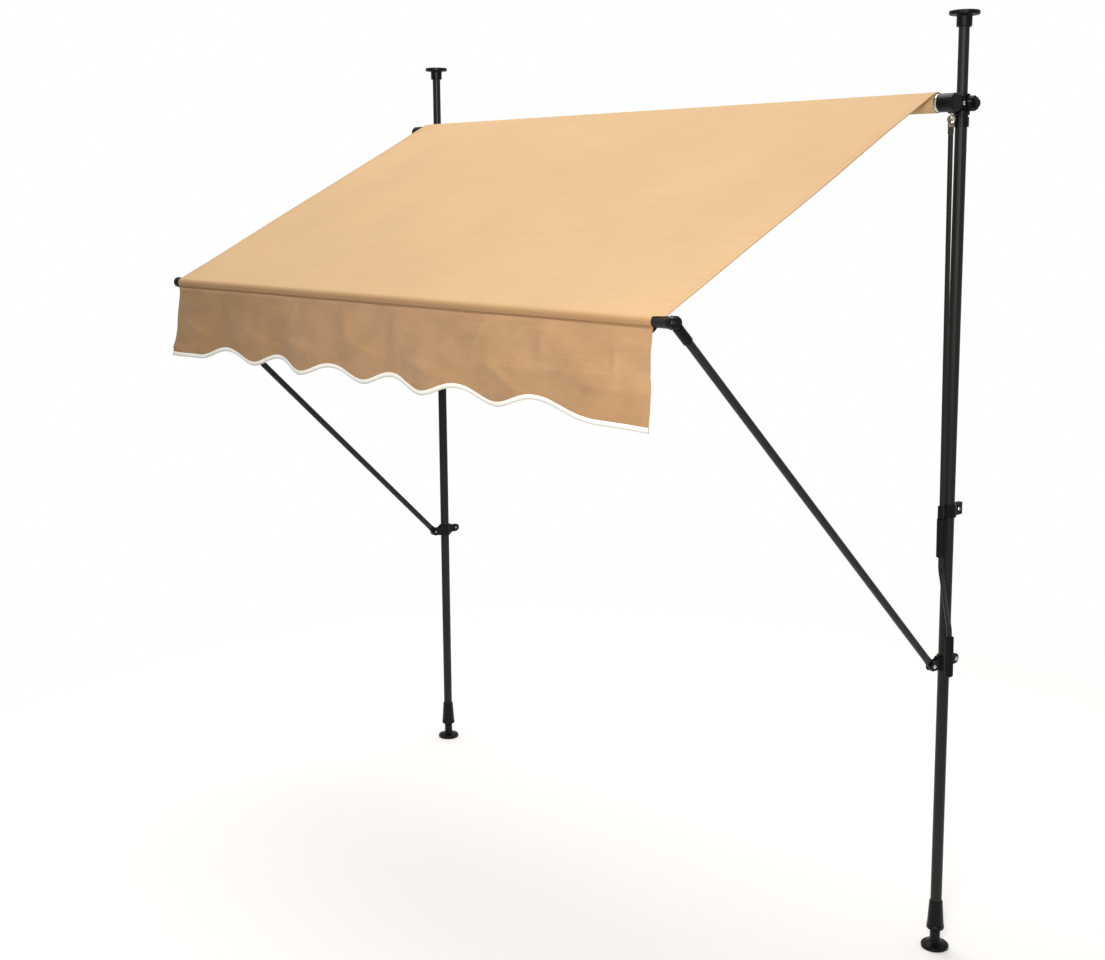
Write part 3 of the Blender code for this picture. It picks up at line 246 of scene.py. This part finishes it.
def ramp(tree, factor, stops):
    """A colour picked by the factor from the stops."""
    node = tree.nodes.new("ShaderNodeValToRGB")
    spots = node.color_ramp.elements
    while len(spots) < len(stops):
        spots.new(0.5)
    for spot, (position, colour) in zip(spots, stops):
        spot.position = position
        spot.color = (*colour, 1.0)
    tree.links.new(factor, node.inputs["Fac"])
    return node.outputs["Color"]


def bump(tree, height, shader, strength, distance):
    """Fine relief, too small for the mesh."""
    node = tree.nodes.new("ShaderNodeBump")
    node.inputs["Strength"].default_value = strength
    node.inputs["Distance"].default_value = distance
    tree.links.new(height, node.inputs["Height"])
    tree.links.new(node.outputs["Normal"], shader.inputs["Normal"])


def shade(colour, share):
    """The colour made darker or lighter."""
    return tuple(min(part * share, 1.0) for part in colour)


def toned(tree, tone, colour, stops, shader):
    """Vary the base colour: each stop has its place in the tone and its share of the colour."""
    shades = [(position, shade(colour, share)) for position, share in stops]
    tree.links.new(ramp(tree, tone, shades), shader.inputs["Base Color"])


def roughened(tree, field, shader, swing, low):
    """Vary the roughness upwards from its lowest value."""
    rough = maths(tree, "ADD", maths(tree, "MULTIPLY", field, swing), low)
    tree.links.new(rough, shader.inputs["Roughness"])


def shaded_and_soiled(tree, colour, shade_and_soil_tint, shader):
    """Tint the cloth by the painted shade, and the patches at random, that its mesh carries in an
    attribute.
    """
    shade_and_soil = tree.nodes.new("ShaderNodeAttribute")
    shade_and_soil.attribute_name = "painted_shade_and_soil"
    blend = tree.nodes.new("ShaderNodeMix")
    blend.data_type = "RGBA"
    blend.blend_type = "MULTIPLY"
    blend.inputs["B"].default_value = (*shade_and_soil_tint, 1.0)
    tree.links.new(shade_and_soil.outputs["Fac"], blend.inputs["Factor"])
    tree.links.new(colour, blend.inputs["A"])
    tree.links.new(blend.outputs["Result"], shader.inputs["Base Color"])


def set_shade_and_soil(piece, amount_at):
    """Write how much painted shade and patchy tint each point of a piece carries, from its place at rest.
    """
    mesh = piece.data
    layer = mesh.attributes.new("painted_shade_and_soil", "FLOAT", "POINT")
    for spot in mesh.vertices:
        layer.data[spot.index].value = min(max(amount_at(spot.co), 0.0), 1.0)


def canvas_material(name, colour, shade_and_soil_tint, contrast, patches=0.0):
    """Woven awning cloth: crossed threads, slubs along the width and soft, broad mottling."""
    made, tree, shader = new_nodes(name, colour, 0.86)
    shader.inputs["Sheen Weight"].default_value = 0.10
    shader.inputs["Sheen Roughness"].default_value = 0.55
    shader.inputs["Specular IOR Level"].default_value = 0.25
    plain = object_coords(tree)
    thread = 0.0011
    thread_scale = 1.0 / (thread * 2 * pi) * 0.5
    across = wave_field(tree, plain, thread_scale, "X", distortion=0.15)
    along = wave_field(tree, plain, thread_scale, "Z", distortion=0.15)
    weave = maths(tree, "MULTIPLY", across, along)
    drawn_out = object_coords(tree, (6.0, 240.0, 240.0))
    slubs = noise_field(tree, drawn_out, scale=1.0, detail=2.0, roughness=0.6)
    broad = noise_field(tree, plain, scale=3.2, detail=4.0, roughness=0.55)
    mix = maths(tree, "ADD", maths(tree, "MULTIPLY", slubs, 0.45), maths(tree, "MULTIPLY", broad, 0.55))
    tone = maths(tree, "ADD", maths(tree, "MULTIPLY", weave, 0.25), maths(tree, "MULTIPLY", mix, 0.75))
    flattened = object_coords(tree, (1.0, 1.0, 1.4))
    blotch = noise_field(tree, flattened, scale=11.0, detail=3.0, roughness=0.6)
    uneven = maths(tree, "MULTIPLY", maths(tree, "SUBTRACT", blotch, 0.5), patches)
    tone = maths(tree, "ADD", tone, uneven)
    dark = shade(colour, 1.0 - contrast)
    light = shade(colour, 1.0 + contrast * 0.6)
    # The mesh attribute darkens the cloth: mostly painted shade, with some patches at random on the
    # valance.
    shaded_and_soiled(tree, ramp(tree, tone, [(0.25, dark), (0.50, colour), (0.75, light)]), shade_and_soil_tint, shader)
    height = maths(tree, "ADD", weave, maths(tree, "MULTIPLY", slubs, 0.8))
    bump(tree, height, shader, strength=0.30, distance=0.0004)
    return made


def coated_material(name, colour, roughness):
    """Powder coat on a metal tube: fine orange-peel grain and faint handling marks."""
    made, tree, shader = new_nodes(name, colour, roughness)
    shader.inputs["Specular IOR Level"].default_value = 0.20
    grain = noise_field(tree, object_coords(tree), scale=900.0, detail=2.0, roughness=0.6)
    drawn_out = object_coords(tree, (60.0, 60.0, 2.0))
    streaks = noise_field(tree, drawn_out, scale=1.0, detail=4.0, roughness=0.6)
    toned(tree, streaks, colour, [(0.30, 0.80), (0.55, 1.0), (0.80, 1.35)], shader)
    roughened(tree, streaks, shader, swing=0.16, low=roughness - 0.08)
    bump(tree, grain, shader, strength=0.12, distance=0.0002)
    return made


def moulded_material(name, colour, roughness):
    """Black moulded plastic with a fine grain and slightly worn, lighter patches."""
    made, tree, shader = new_nodes(name, colour, roughness)
    shader.inputs["Specular IOR Level"].default_value = 0.16
    plain = object_coords(tree)
    grain = noise_field(tree, plain, scale=1400.0, detail=2.0, roughness=0.7)
    wear = noise_field(tree, plain, scale=60.0, detail=3.0, roughness=0.6)
    toned(tree, wear, colour, [(0.35, 0.75), (0.55, 1.0), (0.78, 1.6)], shader)
    roughened(tree, wear, shader, swing=0.18, low=roughness - 0.09)
    bump(tree, grain, shader, strength=0.18, distance=0.0002)
    return made


def metal_material(name, colour, roughness):
    """Bright plated metal with fine turning marks."""
    made, tree, shader = new_nodes(name, colour, roughness, 1.0)
    squeezed = object_coords(tree, (900.0, 120.0, 120.0))
    marks = noise_field(tree, squeezed, scale=1.0, detail=3.0, roughness=0.6)
    spots = noise_field(tree, object_coords(tree), scale=140.0, detail=3.0, roughness=0.5)
    toned(tree, spots, colour, [(0.30, 0.72), (0.60, 1.0), (0.85, 1.12)], shader)
    roughened(tree, marks, shader, swing=0.22, low=roughness - 0.10)
    bump(tree, marks, shader, strength=0.10, distance=0.0002)
    return made


def clevis_material(name, plate, boot, boot_top):
    """Bright plate on the fork of the crank's clevis and a dark dipped coat on its barrel below."""
    made, tree, shader = new_nodes(name, plate, 0.30)
    place = tree.nodes.new("ShaderNodeTexCoord")
    parts = tree.nodes.new("ShaderNodeSeparateXYZ")
    tree.links.new(place.outputs["Object"], parts.inputs["Vector"])
    spots = noise_field(tree, object_coords(tree), scale=160.0, detail=3.0, roughness=0.5)
    height = maths(tree, "ADD", parts.outputs["Z"], maths(tree, "MULTIPLY", spots, 0.0012))
    bright = maths(tree, "GREATER_THAN", height, boot_top)
    blend = tree.nodes.new("ShaderNodeMix")
    blend.data_type = "RGBA"
    tree.links.new(bright, blend.inputs["Factor"])
    tree.links.new(ramp(tree, spots, [(0.3, boot), (0.7, shade(boot, 1.3))]), blend.inputs["A"])
    tree.links.new(ramp(tree, spots, [(0.3, shade(plate, 0.6)), (0.7, plate)]), blend.inputs["B"])
    tree.links.new(blend.outputs["Result"], shader.inputs["Base Color"])
    tree.links.new(bright, shader.inputs["Metallic"])
    roughened(tree, spots, shader, swing=0.2, low=0.2)
    bump(tree, spots, shader, strength=0.08, distance=0.0002)
    return made


def finish_piece(piece, material, body, replaced=()):
    """Give a new piece its material, its body and the CAD nodes it stands for."""
    piece.data.materials.clear()
    piece.data.materials.append(material)
    piece.data.shade_smooth()
    piece.data.set_sharp_from_angle(angle=math.radians(crease_angle))
    if body:
        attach(piece, body)
    if replaced:
        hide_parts(*replaced)


def put_in_scene(name, shape):
    """Turn a finished bmesh into a piece of the scene."""
    bmesh.ops.recalc_face_normals(shape, faces=shape.faces)
    mesh = bpy.data.meshes.new(name)
    shape.to_mesh(mesh)
    shape.free()
    piece = bpy.data.objects.new(name, mesh)
    scene.collection.objects.link(piece)
    return piece


def join_rings(shape, near, far):
    """A band of faces between two closed rings of as many points."""
    count = len(near)
    for i in range(count):
        k = (i + 1) % count
        shape.faces.new((near[i], near[k], far[k], far[i]))


def grid_piece(name, columns, rows, point_at, thickness):
    """A solid sheet whose grid points follow point_at(u, v)."""
    shape = bmesh.new()
    knots = []
    for j in range(rows + 1):
        knots.append([shape.verts.new(point_at(i / columns, j / rows)) for i in range(columns + 1)])
    for j in range(rows):
        for i in range(columns):
            shape.faces.new((knots[j][i], knots[j][i + 1], knots[j + 1][i + 1], knots[j + 1][i]))
    piece = put_in_scene(name, shape)
    apply_thickness(piece, thickness)
    return piece


def apply_thickness(piece, thickness):
    """Make a sheet solid, half of the thickness to each side."""
    solid = piece.modifiers.new("thickness", "SOLIDIFY")
    solid.thickness = thickness
    solid.offset = 0.0
    solid.use_even_offset = True
    bpy.context.view_layer.update()
    seen = piece.evaluated_get(bpy.context.evaluated_depsgraph_get())
    mesh = bpy.data.meshes.new_from_object(seen)
    piece.modifiers.clear()
    piece.data = mesh


def arc(centre, radius, start, end, steps):
    """Points along a circle, between two angles in degrees."""
    points = []
    for i in range(steps + 1):
        angle = math.radians(start + (end - start) * i / steps)
        points.append((centre[0] + radius * math.cos(angle), centre[1] + radius * math.sin(angle)))
    return points


def smooth(value, low, high):
    """A soft step from 0 at low to 1 at high."""
    share = min(max((value - low) / (high - low), 0.0), 1.0)
    return share * share * (3 - 2 * share)


def crowded(u, left, right):
    """Spread a grid's columns over a width, closer together near both side edges."""
    column = u * canopy_columns
    middle_width = right - left - 2 * edge_band
    if column <= edge_columns:
        return left + edge_band * column / edge_columns
    if column >= canopy_columns - edge_columns:
        return right - edge_band * (canopy_columns - column) / edge_columns
    return left + edge_band + middle_width * (column - edge_columns) / middle_columns


def make_stitches(name, runs):
    """Sewing thread: a small rounded dash from each point towards the next along each run."""
    shape = bmesh.new()
    for run in runs:
        for (here, up), (there, _) in zip(run, run[1:]):
            ahead = (there - here) * stitch_share
            side = ahead.cross(up).normalized() * stitch_half_width
            rise = up.normalized() * stitch_height
            rings = []
            for share, scale in stitch_stations:
                spot = here + ahead * share
                ring = [spot - side * scale, spot + rise * scale, spot + side * scale]
                ring.append(spot - rise * 0.6 * scale)
                rings.append([shape.verts.new(corner) for corner in ring])
            for near, far in zip(rings, rings[1:]):
                join_rings(shape, near, far)
            shape.faces.new(rings[0])
            shape.faces.new(list(reversed(rings[-1])))
    return put_in_scene(name, shape)


def canopy_path():
    """The cloth's course from the roll to its lap on the bar, and its rows where it leaves each."""
    roll = roll_radius + gap + cloth / 2
    round_bar = hem_outer + gap + cloth / 2
    across = Vector((bar_y - roller_y, bar_z - roller_z))
    slope = math.degrees(math.atan2(-across.y, -across.x))
    lean = math.degrees(math.asin((roll - round_bar) / across.length))
    leave = 90.0 + slope - lean
    roll_steps = 8
    free_steps = 90
    bar_steps = 20
    on_roll = arc((roller_y, roller_z), roll, canopy_lap_start, leave, roll_steps)
    on_bar = arc((bar_y, bar_z), round_bar, leave, canopy_lap_end, bar_steps)
    start = Vector(on_roll[-1])
    end = Vector(on_bar[0])
    between = [tuple(start.lerp(end, i / free_steps)) for i in range(1, free_steps)]
    return on_roll + between + on_bar, roll_steps, roll_steps + free_steps


def make_canopy(material):
    """The sloping cloth, one continuous sheet from the roll over the bar."""
    path, first, last = canopy_path()
    rows = len(path) - 1
    start = Vector(path[first])
    end = Vector(path[last])
    normal = Vector((0.0, -(end.y - start.y), (end.x - start.x))).normalized()
    if normal.z < 0:
        normal = -normal
    free_length = (end - start).length

    def edges_at(row):
        """How far down the free cloth a row is, and where the row's two ends are."""
        share = min(max((row - first) / (last - first), 0.0), 1.0)
        left = canopy_edges_roller[0] + (canopy_edges_bar[0] - canopy_edges_roller[0]) * share
        right = canopy_edges_roller[1] + (canopy_edges_bar[1] - canopy_edges_roller[1]) * share
        right -= (right - hem_right - 0.001) * smooth(row - last, 0.0, 3.0)
        return share, left, right

    def height_at(x, share, left, right):
        """How far the stretched cloth stands off the straight line between roll and bar."""
        held = math.sin(pi * share)
        u = (x - left) / (right - left)
        soft = noise.noise(Vector((x * 2.2, share * 2.6, 3.1))) * canopy_wave_height
        pull = noise.noise(Vector((x * 7.0 + share * 2.0, share * 1.2, 8.4))) * canopy_pull_height
        lift = (soft + pull + relief(x, share * free_length, canopy_ridges)) * min(held * 2.2, 1.0)
        return lift - canopy_sag * held * (0.35 + 0.65 * math.sin(pi * u))

    def side_hem(inside):
        """The folded side hem: a little proud of the cloth, with a groove along its seam."""
        proud = side_hem_rise * (1.0 - smooth(inside, side_seam - 0.003, side_seam + 0.002))
        return proud - groove_depth * math.exp(-(((inside - side_seam) / groove_width) ** 2))

    def point_at(u, v):
        row = int(round(v * rows))
        y, z = path[row]
        share, left, right = edges_at(row)
        x = crowded(u, left, right)
        lift = height_at(x, share, left, right)
        free = smooth(share, 0.0, 0.02) * (1.0 - smooth(share, 0.98, 1.0))
        lift += side_hem(min(x - left, right - x)) * free
        return Vector((x, y, z)) + normal * lift

    piece = grid_piece("canopy_cloth", canopy_columns, rows, point_at, cloth)
    finish_piece(piece, material, None, ["canopy"])

    def painted_fold_shade_and_edges(spot):
        """Painted shade: the cloth is darkest where it turns down over the bar. It is also a little
        darker on its two cut edges.
        """
        along = (roller_y - spot.y) / (roller_y - bar_y)
        left = canopy_edges_roller[0] + (canopy_edges_bar[0] - canopy_edges_roller[0]) * along
        edge = 0.9 * (1.0 - smooth(min(spot.x - left, canopy_edges_bar[1] - spot.x), 0.001, 0.004))
        if spot.y > bar_y + 0.006:
            return edge
        # Painted shade on the cloth's front as it turns down over the bar.
        return max(edge, smooth(bar_z + 0.013 - spot.z, 0.0, 0.016))

    set_shade_and_soil(piece, painted_fold_shade_and_edges)

    def seam_at(side, along):
        """A point on a side hem's seam, at the middle of the cloth."""
        row = first + (last - first) * along / free_length
        share, left, right = edges_at(row)
        x = left + side_seam if side < 0 else right - side_seam
        spot = start.lerp(end, share)
        return Vector((x, spot.x, spot.y)) + normal * (height_at(x, share, left, right) - 0.0002)

    runs = []
    for side in (-1, 1):
        for face in (-1, 1):
            steps = int((free_length - 2 * seam_margin) / stitch_step)
            spots = [seam_at(side, seam_margin + stitch_step * i) for i in range(steps)]
            runs.append([(spot + normal * (face * stitch_lift), normal) for spot in spots])
    thread = make_stitches("canopy_stitches", runs)
    finish_piece(thread, material, None)
    for part in (piece, thread):
        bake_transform(part)


def make_roll(material):
    """The cloth wound on the roller, with the edges of its turns showing at the ends."""
    steps = 40
    spans = 60
    levels = 14
    outer = [(2 * pi * i / steps, roll_radius - turn_step * i / steps) for i in range(steps)]
    left, right = canopy_edges_roller
    shape = bmesh.new()
    rings = []
    for j in range(spans + 1):
        x = left + (right - left) * j / spans
        ring = []
        for angle, radius in outer:
            swell = roll_swell * noise.noise(Vector((x * 6.0, angle, 1.0)))
            radius += swell if 0 < j < spans else 0.0
            ring.append(shape.verts.new((x, radius * math.cos(angle), radius * math.sin(angle))))
        rings.append(ring)
    for near, far in zip(rings, rings[1:]):
        join_rings(shape, near, far)
    cores = []
    for side, before, x in ((-1, rings[0], left), (1, rings[-1], right)):
        for level in range(1, levels + 1):
            share = level / levels
            now = []
            for angle, radius in outer:
                deep = radius + (roll_core_radius - radius) * share
                turned = 2 * pi * (share * roll_turns + angle / (2 * pi))
                end_x = x - side * turn_notch * (0.5 + 0.5 * math.cos(turned))
                now.append(shape.verts.new((end_x, deep * math.cos(angle), deep * math.sin(angle))))
            join_rings(shape, before, now)
            before = now
        cores.append(before)
    join_rings(shape, *cores)
    piece = put_in_scene("wound_cloth", shape)
    piece.location = (0.0, roller_y, roller_z)
    finish_piece(piece, material, "roller", ["fabric_roll"])


def valance_edge(x):
    """How far the valance hangs below the bar's axis at x."""
    hang = valance_drop + valance_skew * (x - hem_left) / (hem_right - hem_left)
    if x < first_notch - scallop_pitch / 2 or x > last_notch + last_scallop_reach:
        return hang
    turn = (x - first_notch) / scallop_pitch
    if x > last_notch:
        turn = (x - last_notch) / (2 * last_scallop_reach)
    return hang - scallop_height * (1 + math.cos(2 * pi * turn)) / 2


def relief(x, down, ridges):
    """Height of a few long soft ridges. Each has its middle, lean, half length, half width and height."""
    total = 0.0
    for middle_x, middle_down, lean, length, width, height in ridges:
        turn = math.radians(lean)
        dx = x - middle_x
        dd = down - middle_down
        along = (dx * math.cos(turn) + dd * math.sin(turn)) / length
        over = (dd * math.cos(turn) - dx * math.sin(turn)) / width
        if abs(along) < 2.2 and abs(over) < 3.0:
            total += height * math.exp(-along * along - over * over)
    return total


def valance_base(x, drop):
    """The valance as its CAD solid hangs: soft folds that grow towards the lower edge."""
    share = max(drop - fold_start, 0.0) / (valance_drop - fold_start)
    fold = math.sin(2 * pi * (x / fold_pitch + 0.35 * share))
    fold += 0.55 * math.sin(2 * pi * (x / fold_pitch_fine - 0.25 * share) + 0.8)
    reach = (x - hem_left) / (hem_right - hem_left)
    near_left = math.exp(-(((x - hem_left) / left_curl_reach) ** 2))
    near_right = math.exp(-(((x - hem_right) / right_curl_reach) ** 2))
    calm = 1.0 - 0.9 * near_left - 0.6 * near_right
    y = valance_y + fold_depth * share * calm * fold - 0.003 * share
    y -= corner_curl * near_left * share ** 1.3 + 0.2 * corner_curl * near_right * share ** 2
    flare = -corner_flare * (1.0 - reach) ** 3
    return Vector((x + flare * share, y, bar_z - drop))


def valance_point(x, drop):
    """The same cloth with its smaller creases, its proud top hem and its slightly uneven seam."""
    point = valance_base(x, drop)
    below = max(drop - seam_drop, 0.0)
    point.y -= ridge_gain * relief(x, drop, valance_ridges) * smooth(below, 0.0, 0.02)
    point.y -= top_hem_rise * math.exp(-((below / top_hem_width) ** 2))
    crumple = noise.noise(Vector((x * 8.0, drop * 14.0, 5.5))) * crumple_height
    crumple += noise.noise(Vector((x * 21.0 + drop * 9.0, drop * 27.0, 1.5))) * fine_crumple_height
    point.y -= crumple * smooth(below, 0.0, 0.05)
    point.z += noise.noise(Vector((x * 5.0, 0.3, 7.7))) * seam_wander * math.exp(-below / 0.03)
    return point


def make_hem(material):
    """The sleeve round the bar with its sewn tail."""
    back = -tail_forward + tail_half
    front = -tail_forward - tail_half
    start = math.degrees(math.atan2(-math.sqrt(hem_outer ** 2 - back ** 2), back))
    end = math.degrees(math.atan2(-math.sqrt(hem_outer ** 2 - front ** 2), front)) + 360.0
    steps = 40
    outer = arc((0.0, 0.0), hem_outer, start, end, steps)
    inner = arc((0.0, 0.0), hem_inner, start, end, steps)
    section = [(back, -tail_drop)] + outer + [(front, -tail_drop)] + list(reversed(inner))
    spans = 120
    shape = bmesh.new()
    rings = []
    for j in range(spans + 1):
        x = hem_left + (hem_right - hem_left) * j / spans
        rings.append([shape.verts.new((x, bar_y + y, bar_z + z)) for y, z in section])
    for near, far in zip(rings, rings[1:]):
        join_rings(shape, near, far)
    shape.faces.new(rings[0])
    shape.faces.new(list(reversed(rings[-1])))
    piece = put_in_scene("bar_sleeve", shape)
    finish_piece(piece, material, "front_bar", ["hem_sleeve"])
    # Painted shade: the whole sleeve round the bar is darkened, as the cloth there is less lit.
    set_shade_and_soil(piece, lambda spot: 1.0)


def make_valance(material, tape_material):
    """The hanging strip and the white tape along its scalloped edge."""
    columns = 380
    levels = 34
    width = hem_right - hem_left

    def cloth_at(u, v):
        x = hem_left + width * u
        return valance_point(x, seam_drop + (valance_edge(x) - seam_drop) * v)

    piece = grid_piece("valance_cloth", columns, levels, cloth_at, cloth)
    finish_piece(piece, material, "front_bar", ["valance"])

    def valance_painted_shade_and_patches(spot):
        """Painted shade: darkest at the left-hand end, darker towards the scallops and low on the right
        half, with patches at random. None on the proud top hem, which so stays lighter as a painted
        highlight.
        """
        down = (bar_z - seam_drop - spot.z) / valance_drop
        left = 0.60 * math.exp(-(((spot.x - hem_left) / 0.55) ** 2))
        patch = 0.22 * noise.noise(Vector((spot.x * 6.0, down * 2.4, 2.2)))
        right = 0.22 * smooth(spot.x, 0.20, 0.60) * smooth(down, 0.50, 0.62)
        return (0.32 + left + patch + right + 0.16 * down) * smooth(down, 0.016, 0.045)

    set_shade_and_soil(piece, valance_painted_shade_and_patches)

    face_side = [(1.0, -binding_height), (1.15, -binding_height * 0.5), (1.0, 0.0)]
    face_side.append((0.6, tape_offset * 0.7))
    section = [(-tape_offset * share, down) for share, down in face_side]
    section.append((0.0, tape_offset))
    section += [(tape_offset * share, down) for share, down in reversed(face_side)]
    rows = len(section) - 1

    def tape_at(u, v):
        x = hem_left + width * u
        across, down = section[int(round(v * rows))]
        point = valance_point(x, valance_edge(x) + min(down, 0.0))
        point.y += across
        point.z -= max(down, 0.0)
        return point

    tape = grid_piece("valance_tape", columns, rows, tape_at, tape_thickness)
    finish_piece(tape, tape_material, "front_bar", ["valance_binding"])
    # Painted shade: the tape darkens towards its lower edge.
    set_shade_and_soil(tape, lambda spot: smooth(valance_edge(spot.x) - bar_z + spot.z, 0.0045, -0.0005))
    return piece, tape


def make_valance_stitches(material, tape_material):
    """The thread of the valance's seams and of its tape, on both faces."""
    width = hem_right - hem_left
    forward = Vector((0.0, -1.0, 0.0))

    def seam(places, outward, lift):
        """The stitches' points over the given places, each an x and a drop."""
        return [(valance_point(x, drop) + outward * lift, outward) for x, drop in places]

    spots = [hem_left + stitch_step * i for i in range(1, int(width / stitch_step))]
    seam_runs = []
    tape_runs = []
    for outward in (-forward, forward):
        for level in top_seam_levels:
            seam_runs.append(seam([(x, seam_drop + level) for x in spots], outward, stitch_lift))
        for x in (hem_left + end_seam_inset, hem_right - end_seam_inset):
            steps = int((valance_edge(x) - binding_height - seam_drop) / stitch_step)
            drops = [seam_drop + stitch_step * i for i in range(3, steps)]
            seam_runs.append(seam([(x, drop) for drop in drops], outward, stitch_lift))
        places = [(x, valance_edge(x) - tape_seam_height) for x in spots]
        tape_runs.append(seam(places, outward, tape_stitch_lift))
    thread = make_stitches("valance_stitches", seam_runs)
    finish_piece(thread, material, "front_bar")
    tape_thread = make_stitches("tape_stitches", tape_runs)
    finish_piece(tape_thread, tape_material, "front_bar")
    return thread, tape_thread


def paint_cad(materials):
    """Give every CAD node that stays in view its finished material."""
    for name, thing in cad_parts.items():
        kind = "moulded"
        if name.startswith(("main_tube", "upper_tube", "arm_tube", "front_bar", "crank_rod")):
            kind = "coated"
        elif name == "crank_clevis":
            kind = "clevis"
        elif "bolt" in name or name.startswith(("roller", "worm_shaft", "holder_screw")):
            kind = "zinc"
        elif name == "worm_wheel":
            kind = "bronze"
        elif name.startswith("crank_grip"):
            kind = "grip"
        thing.data.materials.clear()
        thing.data.materials.append(materials[kind])


def make_floor():
    """A pale floor that fades out at some distance from the posts."""
    mesh = bpy.data.meshes.new("floor")
    shape = bmesh.new()
    bmesh.ops.create_grid(shape, x_segments=2, y_segments=2, size=30.0)
    shape.to_mesh(mesh)
    shape.free()
    floor = bpy.data.objects.new("floor", mesh)
    made, tree, shader = new_nodes("floor_paint", (0.93, 0.93, 0.92), 0.8)
    fine = noise_field(tree, object_coords(tree), scale=35.0, detail=4.0, roughness=0.6)
    tones = ramp(tree, fine, [(0.3, (0.91, 0.91, 0.91)), (0.7, (0.94, 0.94, 0.94))])
    tree.links.new(tones, shader.inputs["Base Color"])
    shader.inputs["Emission Color"].default_value = (1.0, 1.0, 1.0, 1.0)
    shader.inputs["Emission Strength"].default_value = 0.10
    place = tree.nodes.new("ShaderNodeTexCoord")
    reach = tree.nodes.new("ShaderNodeVectorMath")
    reach.operation = "LENGTH"
    tree.links.new(place.outputs["Object"], reach.inputs[0])
    fade = tree.nodes.new("ShaderNodeMapRange")
    fade.interpolation_type = "SMOOTHSTEP"
    fade.inputs["From Min"].default_value = 1.7
    fade.inputs["From Max"].default_value = 3.0
    tree.links.new(reach.outputs["Value"], fade.inputs["Value"])
    clear = tree.nodes.new("ShaderNodeBsdfTransparent")
    blend = tree.nodes.new("ShaderNodeMixShader")
    tree.links.new(fade.outputs["Result"], blend.inputs["Fac"])
    tree.links.new(shader.outputs["BSDF"], blend.inputs[1])
    tree.links.new(clear.outputs["BSDF"], blend.inputs[2])
    tree.links.new(blend.outputs["Shader"], tree.nodes["Material Output"].inputs["Surface"])
    mesh.materials.append(made)
    scene.collection.objects.link(floor)
    floor.location.z = -0.0005


def make_world():
    """Even, pale light from all sides, in front of a white backdrop."""
    world = bpy.data.worlds.new("studio")
    world.use_nodes = True
    tree = world.node_tree
    fill = tree.nodes["Background"]
    fill.inputs["Color"].default_value = (1.0, 1.0, 1.0, 1.0)
    fill.inputs["Strength"].default_value = 0.50
    backdrop = tree.nodes.new("ShaderNodeBackground")
    backdrop.inputs["Color"].default_value = (1.0, 1.0, 1.0, 1.0)
    rays = tree.nodes.new("ShaderNodeLightPath")
    blend = tree.nodes.new("ShaderNodeMixShader")
    tree.links.new(rays.outputs["Is Camera Ray"], blend.inputs["Fac"])
    tree.links.new(fill.outputs["Background"], blend.inputs[1])
    tree.links.new(backdrop.outputs["Background"], blend.inputs[2])
    tree.links.new(blend.outputs["Shader"], tree.nodes["World Output"].inputs["Surface"])
    scene.world = world


def make_lamps():
    """A broad lamp overhead and a small one at the front, both aimed at the cloth."""
    # Each lamp: its name, place, size, spread, power and colour
    aim_point = Vector((0.4, -0.7, 1.6))
    lamps = (
        ("overhead", (-0.9, 0.1, 5.4), 4.0, 3.14, 195.0, (1.0, 0.98, 0.94)),
        ("front_right", (2.6, -3.0, 2.3), 0.8, 1.9, 36.0, (1.0, 0.96, 0.90)),
    )
    for name, place, size, spread, power, colour in lamps:
        data = bpy.data.lights.new(name, "AREA")
        data.shape = "SQUARE"
        data.size = size
        data.spread = spread
        data.energy = power
        data.color = colour
        lamp = bpy.data.objects.new(name, data)
        lamp.location = place
        aim = aim_point - Vector(place)
        lamp.rotation_euler = aim.to_track_quat("-Z", "Y").to_euler()
        scene.collection.objects.link(lamp)


make_camera()
sand = (0.510, 0.325, 0.160)
# Painted shade: the valance is the same sand cloth, given a darker, redder copy for its shaded, upright
# face.
valance_shaded_sand = (0.470, 0.279, 0.144)
white = (0.86, 0.85, 0.80)
canvas = canvas_material("sand_canvas_woven", sand, (0.70, 0.62, 0.55), 0.12)
valance_shaded_canvas = canvas_material("valance_canvas_shaded_woven", valance_shaded_sand, (0.72, 0.70, 0.61), 0.14, patches=0.9)
tape_white = canvas_material("white_tape", white, (0.62, 0.62, 0.58), 0.06)
plate = (0.60, 0.60, 0.59)
boot = (0.010, 0.012, 0.011)
cad_materials = {
    "coated": coated_material("dark_powder_coat", (0.012, 0.014, 0.0125), 0.36),
    "moulded": moulded_material("black_plastic", (0.0022, 0.0040, 0.0032), 0.34),
    "zinc": metal_material("bright_zinc_plate", (0.74, 0.74, 0.72), 0.25),
    "bronze": metal_material("gear_bronze_turned", (0.55, 0.38, 0.18), 0.35),
    "grip": moulded_material("grip_black", (0.0020, 0.0020, 0.0020), 0.55),
    "clevis": clevis_material("clevis_plate_and_boot", plate, boot, clevis_boot_top),
}
paint_cad(cad_materials)
make_canopy(canvas)
make_roll(canvas)
make_hem(canvas)
valance, tape = make_valance(valance_shaded_canvas, tape_white)
trims = [tape, *make_valance_stitches(valance_shaded_canvas, tape_white)]
make_floor()
make_world()
make_lamps()
